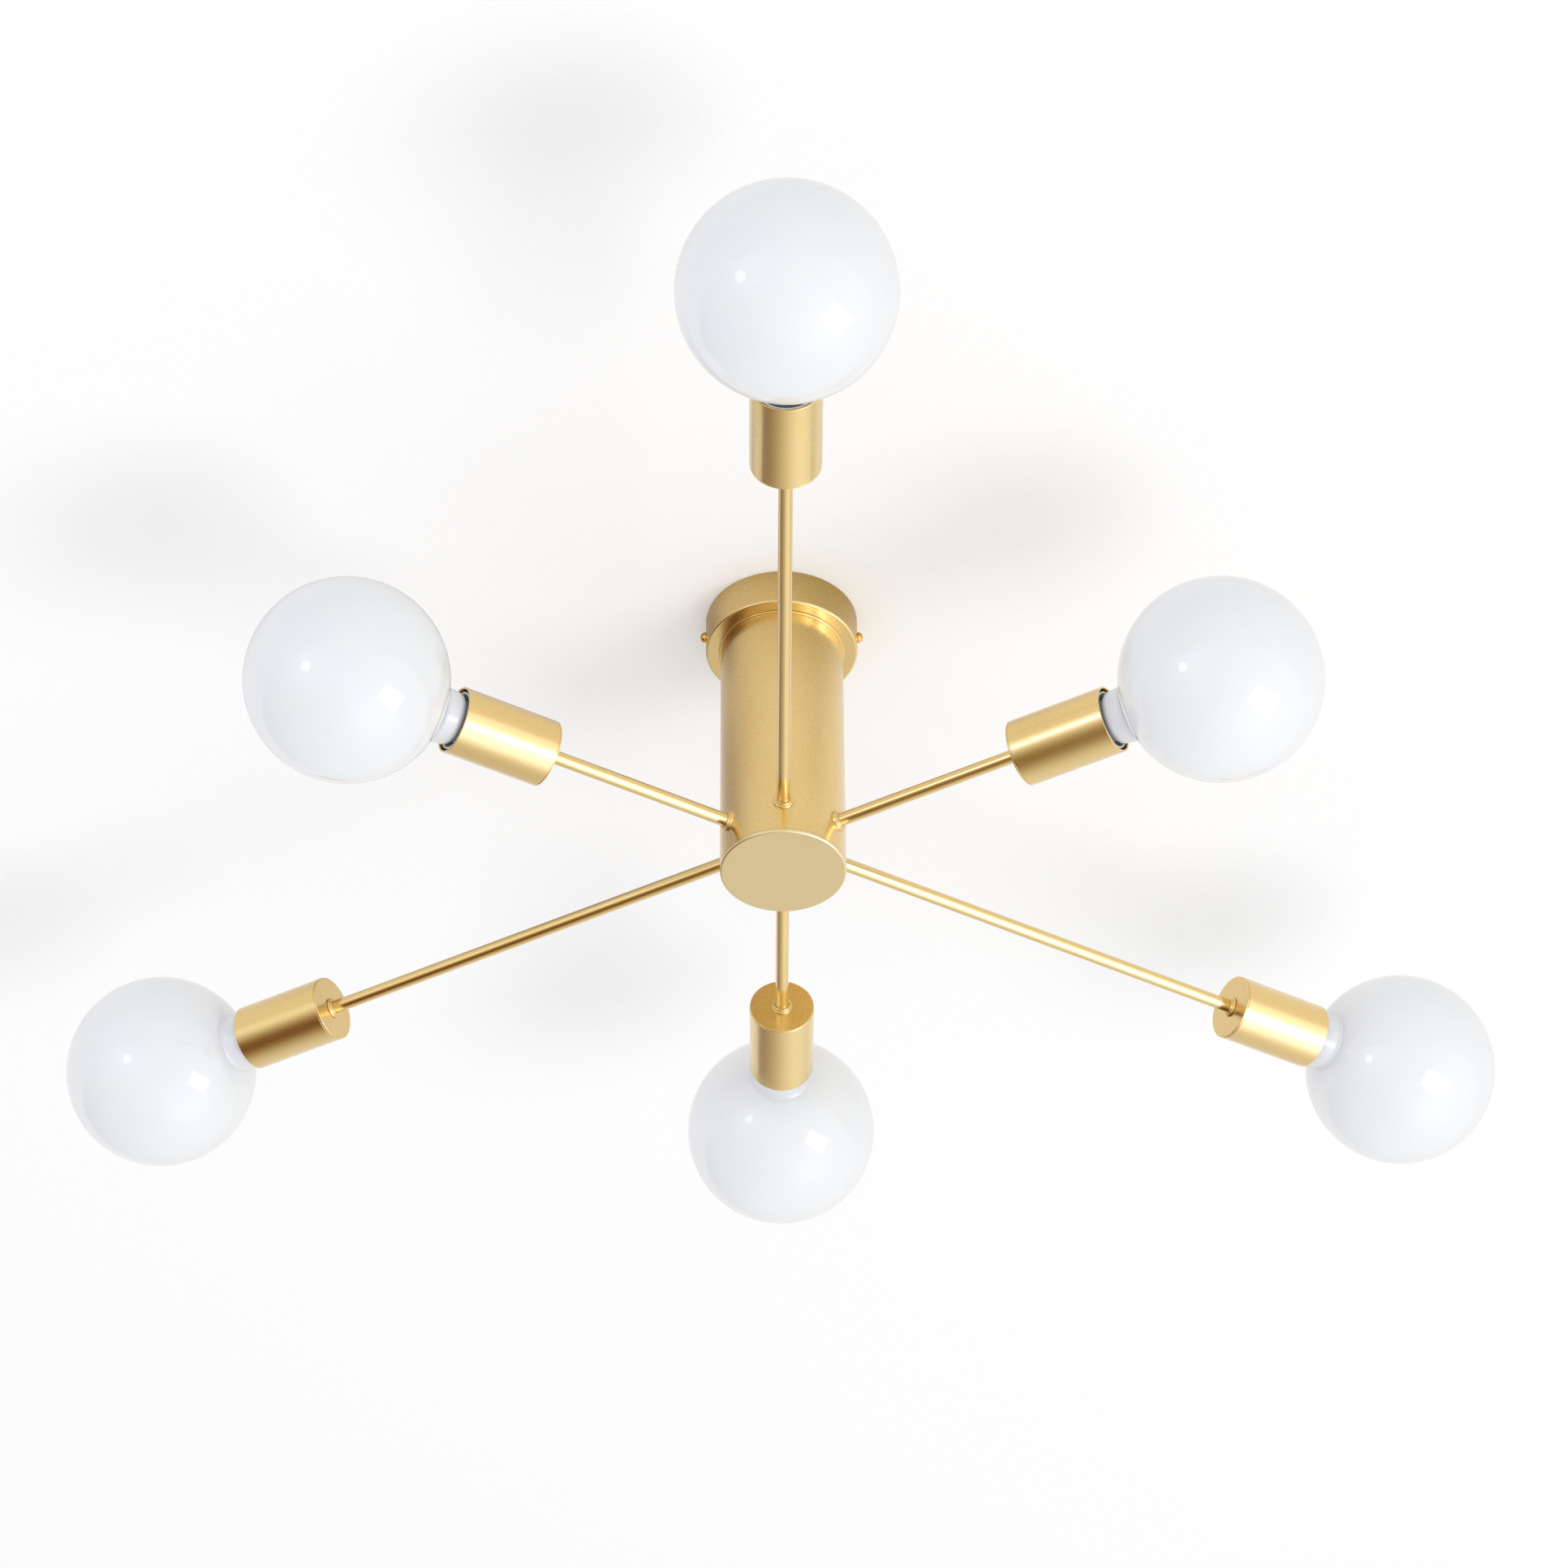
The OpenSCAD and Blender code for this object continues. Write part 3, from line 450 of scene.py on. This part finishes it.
def make_side_screw(side, node, body):
    dome = (HEAD_R ** 2 + (HEAD_H - HEAD_RIM) ** 2) / (2 * (HEAD_H - HEAD_RIM))
    centre = HEAD_H - dome
    arc = [(dome * math.sin(a), centre + dome * math.cos(a), 0)
           for a in (math.asin(HEAD_R / dome) * (DOME_STEPS - k) / DOME_STEPS
                     for k in range(DOME_STEPS + 1))]
    shank = rings(SHANK_R - SCREW_DEPTH, -SHANK + SCREW_FADE, -SCREW_FADE, SCREW_RING_GAP)
    outline = ([(0, -SHANK, 0), (POINT_R, -SHANK, 0.1)] + shank
               + [(SHANK_R, -PLAIN_SHANK, 0), (SHANK_R, 0, 0), (HEAD_R, 0, 0.25),
                  (HEAD_R, HEAD_RIM, 0)] + arc[1:])
    bm = spin_outline(outline, 32, loop=False)
    roll_thread(bm, -SHANK + 0.4, -0.5, SCREW_PITCH, SCREW_DEPTH, SCREW_FADE, inside=1.4)
    turn = Matrix.Rotation(math.pi / 2 * side, 4, "Y")
    place = Matrix.Translation((side * (CANOPY_R + HEAD_GAP) * MM, 0, SCREW_Z * MM)) @ turn
    return finish_piece(bm, node + "_domed", place, gold_polished, body, [node])


for side, word in ((1, "right"), (-1, "left")):
    screw = make_side_screw(side, f"side_screw_{word}", f"{word}_side_screw")
    print(screw.name, size_of(screw), "mm")

# %% [markdown]
# ## The column's two ends
# The top cap closes the column under the canopy, and its lip stands 1.2 mm proud: the thin bright line
# below the canopy. The end cap is a flat disc with a rounded edge, brushed in one direction. Both have
# a spigot that centres them in the tube.

# %% Make the top cap and the end cap
TOP_Z, TUBE_TOP_Z, TUBE_FOOT_Z, DROP = -26.05, -27.25, -207.5, -210
COLUMN_R, COLUMN_LIP_R, TOP_PLATE = 39.5, 40.7, 2
SPIGOT_R, SPIGOT_IN_R, SPIGOT_LENGTH = 38.25, 36.25, 6

bm = spin_outline([
    (CENTRE_HOLE_R, TOP_Z, 0.1), (COLUMN_LIP_R, TOP_Z, 0.45), (COLUMN_LIP_R, TUBE_TOP_Z, 0.45),
    (SPIGOT_R, TUBE_TOP_Z, 0), (SPIGOT_R, TUBE_TOP_Z - SPIGOT_LENGTH, 0.3),
    (SPIGOT_IN_R, TUBE_TOP_Z - SPIGOT_LENGTH, 0.3), (SPIGOT_IN_R, TUBE_TOP_Z - TOP_PLATE, 0),
    (CENTRE_HOLE_R, TUBE_TOP_Z - TOP_PLATE, 0.1),
], 128)
top_cap = finish_piece(bm, "column_lip", HERE, gold, "fixture", ["column_top_cap"])

bm = spin_outline([
    (0, DROP, 0), (COLUMN_R, DROP, 1.1), (COLUMN_R, TUBE_FOOT_Z, 0.15), (SPIGOT_R, TUBE_FOOT_Z, 0),
    (SPIGOT_R, TUBE_FOOT_Z + SPIGOT_LENGTH, 0.3), (SPIGOT_IN_R, TUBE_FOOT_Z + SPIGOT_LENGTH, 0.3),
    (SPIGOT_IN_R, TUBE_FOOT_Z, 0), (0, TUBE_FOOT_Z, 0),
], 128, loop=False)
end_cap = finish_piece(bm, "column_foot", HERE, gold_straight_painted_sheen, "fixture", ["column_end_cap"])
print("lip", size_of(top_cap), "mm, foot", size_of(end_cap), "mm")

# %% [markdown]
# ## Collars
# Where an arm leaves the column, and where it enters its cup, a stepped collar covers the hole: a round
# flange and a smaller raised ring. Each is turned, and the column's collars are then filed to the
# column's curve: the corners of their back face slide along the arm until they meet the tube, a hair
# away from it.

# %% Make the collars
ARM_BORE, COLLAR_R, COLLAR_T, STEP_R, STEP_T = 4.3, 6.8, 1.6, 5.6, 1.0
SADDLE_SINK, SADDLE_BACK, COLUMN_GAP, CUP_GAP = 0.7, 0.3, 0.03, 0.025


def collar_outline(sink):
    return [
        (ARM_BORE, -sink, 0), (COLLAR_R, -sink, 0.45 if not sink else 0.0), (COLLAR_R, COLLAR_T, 0.7),
        (STEP_R, COLLAR_T, 0.15), (STEP_R, COLLAR_T + STEP_T, 0.45), (ARM_BORE, COLLAR_T + STEP_T, 0.1),
    ]


def join(parts):
    whole = bmesh.new()
    for part, place in parts:
        part.transform(place)
        scratch = bpy.data.meshes.new("part")
        part.to_mesh(scratch)
        part.free()
        whole.from_mesh(scratch)
        bpy.data.meshes.remove(scratch)
    return whole


def saddle_collar():
    bm = spin_outline(collar_outline(SADDLE_SINK), 64)
    seat_r = COLUMN_R * MM + COLUMN_GAP * MM
    for vert in bm.verts:
        if vert.co.z < -SADDLE_BACK * MM:
            vert.co.z = math.sqrt(seat_r ** 2 - vert.co.y ** 2) - COLUMN_R * MM
    return bm


bm = join([(saddle_collar(), along_arm(number, COLUMN_R)) for number in ARM_NUMBERS])
column_collars = finish_piece(bm, "column_collar_rings", HERE, gold, "fixture",
                              ["column_collars"])

flip = Matrix.Rotation(math.pi, 4, "X")
bm = join([(spin_outline(collar_outline(0), 64), along_arm(number, reach(number) - CUP_GAP) @ flip)
           for number in ARM_NUMBERS])
cup_collars = finish_piece(bm, "cup_collar_rings", HERE, gold, "fixture", ["cup_collars"])
print("collars:", size_of(column_collars), "and", size_of(cup_collars), "mm over all six")

# %% [markdown]
# ## Cups
# A cup is a tube with 1.2 mm walls, closed by a flat back plate. The plate's rounded edge and the fine
# groove where it meets the tube show as a bright line with a dark one beside it. The rim is only broken
# with a fine file.

# %% Make the cups
CUP_R, CUP_LEN, CUP_WALL, CUP_BACK, CUP_BORE = 21, 63.5, 1.2, 1.5, 4.35

cup_outline = [
    (CUP_BORE, 0, 0.15), (CUP_R - 0.1, 0, 0.45), (CUP_R - 0.1, 0.9, 0.12), (CUP_R - 0.4, 1.05, 0),
    (CUP_R - 0.4, 1.25, 0), (CUP_R, 1.4, 0.12), (CUP_R, CUP_LEN, 0.3), (CUP_R - CUP_WALL, CUP_LEN, 0.3),
    (CUP_R - CUP_WALL, CUP_BACK, 0.1), (CUP_BORE, CUP_BACK, 0.15),
]
for number in ARM_NUMBERS:
    bm = spin_outline(cup_outline, 96)
    cup = finish_piece(bm, f"cup_shell_{number}", at_cup(number), gold, "fixture",
                       [f"cup_{number}"])
print("a cup has", len(cup.data.polygons), "faces; the last one measures", size_of(cup), "mm")

# %% [markdown]
# ## Lampholders
# Each lampholder is moulded in white plastic: a shouldered body screwed on the end of the arm, and a
# thin skirt whose rim shows as a white ring just inside the cup. Inside the ring a dull zinc-coated
# sleeve guides the bulb's cap to its thread, and makes the gap round the bulb look slate grey.

# %% Make the lampholders and their sleeves
HOLDER_R, HOLDER_IN_R, HOLDER_BACK, HOLDER_RIM = 18.25, 17.25, 6.6, 62.3
holder_outline = [
    (ARM_BORE, HOLDER_BACK, 0.3), (13.25, HOLDER_BACK, 0.8), (HOLDER_R, 11.6, 0.8),
    (HOLDER_R, HOLDER_RIM, 0.25), (HOLDER_IN_R, HOLDER_RIM, 0.25), (HOLDER_IN_R, 52.1, 0),
    (16.25, 52.1, 0.2), (16.25, 18.6, 0), (14.5, 18.6, 0.2), (14.5, 9.6, 0.4), (6.75, 9.6, 0.2),
    (6.75, 11.65, 0.2), (ARM_BORE, 11.65, 0.2),
]
sleeve_outline = [(16.75, 52.3, 0.1), (17.15, 52.3, 0.1), (17.15, 61.4, 0.1), (16.75, 61.4, 0.15)]
for number in ARM_NUMBERS:
    bm = spin_outline(holder_outline, 72)
    holder = finish_piece(bm, f"lampholder_body_{number}", at_cup(number), holder_plastic, "fixture",
                          [f"lampholder_{number}"])
    finish_piece(spin_outline(sleeve_outline, 72), f"holder_sleeve_{number}", at_cup(number),
                 sleeve_zinc, "fixture")
print("a lampholder is", size_of(holder), "mm")

# %% [markdown]
# ## Globes
# A blown globe is a ball with its bottom cut off. The ball comes from one operator, a plane cuts it
# where the neck begins, and the cut edge is drawn in and down as the lip that sits in the neck. Then
# the solidify operator gives the glass its thickness, inwards.

# %% Make the globes
GLOBE_R, GLOBE_WALL, GLOBE_CENTRE, NECK_SEAM = 62.5, 1.0, 135.8, 75.9
LIP_R, LIP_DEPTH = 16.4, 4.0


def globe():
    bm = bmesh.new()
    bmesh.ops.create_uvsphere(bm, u_segments=96, v_segments=64, radius=GLOBE_R * MM,
                              matrix=Matrix.Translation((0, 0, GLOBE_CENTRE * MM)))
    bmesh.ops.bisect_plane(bm, geom=bm.verts[:] + bm.edges[:] + bm.faces[:], dist=1e-7,
                           plane_co=(0, 0, NECK_SEAM * MM), plane_no=(0, 0, 1), clear_inner=True)
    for radius, height in ((LIP_R + 0.3, NECK_SEAM + 0.15), (LIP_R, NECK_SEAM - 0.1),
                           (LIP_R, NECK_SEAM - LIP_DEPTH)):
        rim = [e for e in bm.edges if len(e.link_faces) == 1]
        drawn = bmesh.ops.extrude_edge_only(bm, edges=rim)["geom"]
        for vert in (v for v in drawn if isinstance(v, bmesh.types.BMVert)):
            scale = radius * MM / math.hypot(vert.co.x, vert.co.y)
            vert.co = (vert.co.x * scale, vert.co.y * scale, height * MM)
    bmesh.ops.recalc_face_normals(bm, faces=bm.faces)
    bmesh.ops.solidify(bm, geom=bm.faces[:], thickness=GLOBE_WALL * MM)
    return bm


for number in ARM_NUMBERS:
    piece = finish_piece(globe(), f"opal_globe_{number}", at_cup(number), opal, f"bulb_{number}",
                         [f"bulb_globe_{number}"])
print("a globe is", size_of(piece), "mm and has", len(piece.data.polygons), "faces")

# %% [markdown]
# ## Necks and light boards
# The neck carries the driver and its light board. Its tube stands in the screw cap's plain metal skirt,
# and just outside the lampholder it swells into a white bowl that flares out to meet the globe.
# The board is a white disc with a ring of yellow light chips. Nobody sees it through the opal glass, but
# it is there.

# %% Make the necks and boards
CAP_RIM, CAP_R = 50.3, 13.2
neck_outline = [
    (11.7, 44.3, 0.2), (11.7, 50.4, 0), (12.9, 50.4, 0), (12.9, 62.0, 0), (13.6, 62.0, 0.3),
    (16.4, 63.9, 2.0), (17.2, 69.5, 6.0), (17.6, 74.2, 2.0), (19.3, 75.95, 0.1), (19.3, 76.2, 0.08),
    (17.85, 75.75, 0), (16.45, 75.75, 0), (16.45, 71.8, 0), (13.45, 71.8, 0.2), (13.45, 70.3, 0.2),
    (15.6, 70.3, 0), (14.6, 65.5, 1.0), (11.8, 63.5, 0.5), (11.8, 51.4, 0.3), (10.3, 50.4, 0.3),
    (10.3, 44.3, 0.2),
]
skirt_outline = [(12.95, 50.4, 0.05), (CAP_R, 50.4, 0.1), (CAP_R, 62.2, 0.1), (12.95, 62.2, 0.05)]
board_outline = [(0, 71.85, 0), (15.3, 71.85, 0.1), (15.3, 73.45, 0.1), (0, 73.45, 0)]
CHIPS, CHIP_RING_R, CHIP_Z, CHIP_SIZE, CHIP_EDGE = 12, 10.0, 73.8, (2.8, 2.8, 0.7), 0.12


def light_chips():
    bm = bmesh.new()
    for k in range(CHIPS):
        turn = Matrix.Rotation(math.tau * k / CHIPS, 4, "Z")
        place = turn @ Matrix.Translation((CHIP_RING_R * MM, 0, CHIP_Z * MM))
        bmesh.ops.create_cube(bm, size=MM, matrix=place @ Matrix.Diagonal((*CHIP_SIZE, 1)))
    bmesh.ops.bevel(bm, geom=bm.edges[:], offset=CHIP_EDGE * MM, offset_type="OFFSET", affect="EDGES",
                    segments=1, profile=0.5, material=-1)
    return bm


for number in ARM_NUMBERS:
    place, body = at_cup(number), f"bulb_{number}"
    neck = finish_piece(spin_outline(neck_outline, 72), f"neck_shell_{number}", place,
                        neck_plastic, body, [f"bulb_neck_{number}"])
    finish_piece(spin_outline(skirt_outline, 64), f"cap_skirt_{number}", place, sleeve_zinc, body)
    finish_piece(spin_outline(board_outline, 48, loop=False), f"light_board_{number}", place,
                 holder_plastic, body)
    finish_piece(light_chips(), f"light_chips_{number}", place, chip_yellow, body)
print("a neck is", size_of(neck), "mm; a board has", CHIPS, "chips")

# %% [markdown]
# ## Screw caps
# The cap that carries the current is thin nickel-plated sheet with a rolled thread, 3.62 mm from ridge
# to ridge. Under it come a white insulator and a brass tip contact.

# %% Make the screw caps
TIP, CAP_PITCH, CAP_SHEET = 23.3, 3.62, 0.4
THREAD_DEPTH, THREAD_FADE, CAP_RING_GAP = 1.0, 2.0, 0.3
SHELL_START, THREAD_END, EDGE_START = 28.0, CAP_RIM - 1.6, CAP_RIM - 0.6
insulator_outline = [(0, 24.35, 0), (5.0, 24.35, 0.3), (12.15, 27.95, 0.1), (0, 27.95, 0)]
tip_outline = [(0, TIP, 0), (3.9, TIP, 0.5), (4.5, 24.3, 0), (0, 24.3, 0)]


def cap_shell():
    outer = rings(CAP_R - THREAD_DEPTH, SHELL_START, THREAD_END, CAP_RING_GAP)
    edge = [(CAP_R, EDGE_START, 0), (CAP_R, CAP_RIM, 0)]
    inner = [(radius - CAP_SHEET, height, 0) for radius, height, _ in reversed(outer + edge)]
    bm = spin_outline(outer + edge + inner, 64)
    roll_thread(bm, SHELL_START + 0.5, THREAD_END, CAP_PITCH, THREAD_DEPTH, THREAD_FADE)
    return bm


for number in ARM_NUMBERS:
    place, body = at_cup(number), f"bulb_{number}"
    shell = finish_piece(cap_shell(), f"screw_cap_{number}", place, nickel, body,
                         [f"bulb_cap_{number}"])
    finish_piece(spin_outline(insulator_outline, 48, loop=False), f"cap_insulator_{number}", place,
                 holder_plastic, body)
    finish_piece(spin_outline(tip_outline, 40, loop=False), f"tip_contact_{number}", place, brass,
                 body)
print("a screw cap is", size_of(shell), "mm with", len(shell.data.polygons), "faces")

# %% [markdown]
# ## The ceiling
# The light hangs from a plain white ceiling, which is the backdrop of the picture. It is one large flat
# face a hair above the canopy. Rays from the camera, and rays passed on by the light, see it as matt
# white paint, with the light's own soft shadows. Rays reflected by the light see it in a painted warm
# shade, a little darker than white and most in blue. Lamp and sky rays pass through it, so that the
# studio can light the piece from every side, and from above it is clear.
#
# The photograph's metal also shows a ceiling that is darker close to the canopy and behind it on the
# left. Three soft round shades on the ceiling, seen by reflected rays only, give the gold those tones.

# %% Make the ceiling
# the third colour is a painted warm shade: reflected rays see the ceiling this much darker, most in blue
CEILING_SIZE, CEILING_GAP, CEILING_PAINTED_WARM_SHADE = 14.0, 0.0002, (0.95, 0.91, 0.88)
# centre and spread in metres, and the colour that the shade takes away
SHADES = [
    ((0.025, -0.025, 0), 0.045, (0.44, 0.48, 0.60)),   # round the canopy, most at its front right
    ((-0.24, 0.06, 0), 0.12, (0.50, 0.53, 0.50)),      # behind it, on the left
    ((-0.07, 0.0, 0), 0.020, (0.40, 0.45, 0.50)),      # close to its left side
]

bm = bmesh.new()
facing_down = Matrix.Translation((0, 0, CEILING_GAP)) @ Matrix.Rotation(math.pi, 4, "X")
bmesh.ops.create_grid(bm, x_segments=1, y_segments=1, size=CEILING_SIZE / 2, matrix=facing_down)
mesh = bpy.data.meshes.new("ceiling")
bm.to_mesh(mesh)
bm.free()
ceiling = bpy.data.objects.new("ceiling", mesh)
bpy.context.scene.collection.objects.link(ceiling)
ceiling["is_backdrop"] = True

paint, tree = new_material("matt_white_ceiling_paint")
rays = add(tree, "ShaderNodeLightPath")
face = add(tree, "ShaderNodeNewGeometry")
seen = add(tree, "ShaderNodeMath", {"operation": "ADD"},
           {0: rays.outputs["Is Camera Ray"], 1: rays.outputs["Is Glossy Ray"]})
seen = add(tree, "ShaderNodeMath", {"operation": "ADD", "use_clamp": True},
           {0: seen.outputs["Value"], 1: rays.outputs["Is Transmission Ray"]})
from_below = add(tree, "ShaderNodeMath", {"operation": "SUBTRACT", 0: 1.0},
                 {1: face.outputs["Backfacing"]})
shown = add(tree, "ShaderNodeMath", {"operation": "MULTIPLY"},
            {0: seen.outputs["Value"], 1: from_below.outputs["Value"]})
place = add(tree, "ShaderNodeTexCoord")
reflected_shade = add(tree, "ShaderNodeCombineXYZ", dict(zip("XYZ", CEILING_PAINTED_WARM_SHADE)))
for centre, spread, taken in SHADES:
    apart = add(tree, "ShaderNodeVectorMath", {"operation": "DISTANCE", 1: centre},
                {0: place.outputs["Object"]})
    squared = add(tree, "ShaderNodeMath", {"operation": "POWER", 1: 2.0}, {0: apart.outputs["Value"]})
    fall = add(tree, "ShaderNodeMath", {"operation": "MULTIPLY", 1: -0.5 / spread ** 2},
               {0: squared.outputs["Value"]})
    shade = add(tree, "ShaderNodeMath", {"operation": "EXPONENT"}, {0: fall.outputs["Value"]})
    less = add(tree, "ShaderNodeVectorMath",
               {"operation": "MULTIPLY_ADD", 1: [-c for c in taken], 2: (1, 1, 1)},
               {0: shade.outputs["Value"]})
    reflected_shade = add(tree, "ShaderNodeVectorMath", {"operation": "MULTIPLY"},
               {0: reflected_shade.outputs["Vector"], 1: less.outputs["Vector"]})
# reflected rays see the painted warm shade and the three painted shades; the camera and all other rays see
# plain white
colour = add(tree, "ShaderNodeMix", {"data_type": "RGBA", 6: (1, 1, 1, 1)},
             {0: rays.outputs["Is Glossy Ray"], 7: reflected_shade.outputs["Vector"]})
clear = add(tree, "ShaderNodeBsdfTransparent")
matt = add(tree, "ShaderNodeBsdfDiffuse", None, {"Color": colour.outputs[2]})
mixed = add(tree, "ShaderNodeMixShader", None,
            {0: shown.outputs["Value"], 1: clear.outputs["BSDF"], 2: matt.outputs["BSDF"]})
add(tree, "ShaderNodeOutputMaterial", None, {"Surface": mixed.outputs["Shader"]})
ceiling.data.materials.append(paint)
print("ceiling", CEILING_SIZE, "m square")

# %% [markdown]
# ## The studio
# Metal looks like what it reflects. A plain white room would make the gold flat, so the studio is white
# with a few broad glows and two darker sides, as a photographer sets round polished metal. Each is a
# soft spot on the sky: the closer a ray's direction is to the spot's, the more it adds or takes away.
# The darker sides take more blue than red, which keeps the gold's shadows warm. Reflected rays see these
# spots, while matt surfaces are lit by an even sky, and the camera sees plain white.

# %% Light it with the sky
STUDIO_LEVEL, STUDIO_BASE, EVEN_LEVEL = 0.82, (1.105, 1.105, 1.105), 0.88
DARKEST = (0.06, 0.04, 0.02)
# azimuth and elevation in degrees, tightness, colour added
SOFT_SPOTS = [
    (-28, -40, 4.0, (0.50, 0.55, 0.70)),      # wide glow round the softbox
    (5, -57, 12.0, (1.20, 1.30, 2.20)),       # white table below on the right
    (-132, -13, 16.0, (0.95, 1.00, 1.20)),    # glow to the left of the camera
    (-25, 10, 4.4, (0.60, 0.62, 0.80)),       # bright right wall
    (53, -31, 8.5, (0.22, 0.22, 0.22)),       # far right
    (172, -50, 4.2, (-0.94, -1.11, -1.33)),   # dark side, low left
    (143, 0, 5.0, (-0.62, -0.68, -0.60)),     # dark side, far left
]


def direction(azimuth, elevation):
    a, e = math.radians(azimuth), math.radians(elevation)
    return Vector((math.cos(e) * math.cos(a), math.cos(e) * math.sin(a), math.sin(e)))


world = bpy.data.worlds.new("studio")
bpy.context.scene.world = world
world.use_nodes = True
tree = world.node_tree
tree.nodes.clear()
sky = add(tree, "ShaderNodeTexCoord")
total = add(tree, "ShaderNodeCombineXYZ", dict(zip("XYZ", STUDIO_BASE)))
for azimuth, elevation, tightness, colour in SOFT_SPOTS:
    near = add(tree, "ShaderNodeVectorMath",
               {"operation": "DOT_PRODUCT", 1: direction(azimuth, elevation)},
               {0: sky.outputs["Generated"]})
    fall = add(tree, "ShaderNodeMath", {"operation": "MULTIPLY_ADD", 1: tightness, 2: -tightness},
               {0: near.outputs["Value"]})
    glow = add(tree, "ShaderNodeMath", {"operation": "EXPONENT"}, {0: fall.outputs["Value"]})
    total = add(tree, "ShaderNodeVectorMath", {"operation": "MULTIPLY_ADD", 1: colour},
                {0: glow.outputs["Value"], 2: total.outputs["Vector"]})
least = add(tree, "ShaderNodeVectorMath", {"operation": "MAXIMUM", 1: DARKEST},
            {0: total.outputs["Vector"]})
spots = add(tree, "ShaderNodeBackground", {"Strength": STUDIO_LEVEL},
            {"Color": least.outputs["Vector"]})
even = add(tree, "ShaderNodeBackground", {"Color": (1, 1, 1, 1), "Strength": EVEN_LEVEL})
rays = add(tree, "ShaderNodeLightPath")
studio = add(tree, "ShaderNodeMixShader", None,
             {0: rays.outputs["Is Glossy Ray"], 1: even.outputs["Background"],
              2: spots.outputs["Background"]})
white = add(tree, "ShaderNodeBackground", {"Color": (1, 1, 1, 1), "Strength": 1.0})
plain = add(tree, "ShaderNodeMath", {"operation": "ADD", "use_clamp": True},
            {0: rays.outputs["Is Camera Ray"], 1: rays.outputs["Is Transmission Ray"]})
mixed = add(tree, "ShaderNodeMixShader", None,
            {0: plain.outputs["Value"], 1: studio.outputs["Shader"], 2: white.outputs["Background"]})
add(tree, "ShaderNodeOutputWorld", None, {"Surface": mixed.outputs["Shader"]})
print(len(SOFT_SPOTS), "soft spots at studio level", STUDIO_LEVEL)

# %% [markdown]
# Three lamps stand in it. A tilted softbox to the right, below the light, is there for reflections only:
# it makes the white streaks on the cups and a slanted patch on each globe. A key lamp behind it lights
# matt surfaces only, and throws the soft round shadows on the ceiling. A small round lamp to the left of
# the camera makes the dot on each globe. A lamp's brightness is its power over its area and pi, so the
# power is worked out from the brightness that its reflection should have. Places and sizes are in
# metres, and all three lamps aim at the middle of the light, at the height of the arms.

# %% Add the lamps
AIM = Vector((0, 0, -0.185))


def add_lamp(name, place, width, height, radiance, shape="RECTANGLE", roll=0.0, colour=(1, 1, 1)):
    data = bpy.data.lights.new(name, "AREA")
    data.shape, data.size, data.size_y = shape, width, height
    area = width * height * (math.pi / 4 if shape == "ELLIPSE" else 1)
    data.energy, data.color = radiance * math.pi * area, colour
    lamp = bpy.data.objects.new(name, data)
    bpy.context.scene.collection.objects.link(lamp)
    aim = (AIM - Vector(place)).to_track_quat("-Z", "Y").to_matrix().to_4x4()
    lamp.matrix_world = Matrix.Translation(place) @ aim @ Matrix.Rotation(math.radians(roll), 4, "Z")
    print(name, round(data.energy, 1), "W")
    return lamp


softbox = add_lamp("softbox", (1.33, -0.55, -1.33), 0.98, 0.62, 4.4, roll=12,
                   colour=(0.78, 0.93, 1.75))
softbox.visible_diffuse = False
key = add_lamp("key_lamp", (2.60, -1.30, -3.65), 1.90, 1.90, 4.1, "ELLIPSE")
key.visible_glossy = False
add_lamp("round_lamp", (-2.32, -2.36, -1.11), 0.62, 0.62, 3.2, "ELLIPSE", colour=(0.72, 0.88, 1.90))

# %% [markdown]
# ## Check the sizes and finish
# The dressed light has to fill the same box as the CAD model, so the script prints how far the two
# boxes differ.

# %% Compare the boxes and finish
visual_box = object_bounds()
gap = max(abs(a - b) for one, two in zip(cad_box, visual_box) for a, b in zip(one, two))
print("made", len(made), "pieces; boxes differ by at most", round(gap / MM, 3), "mm")
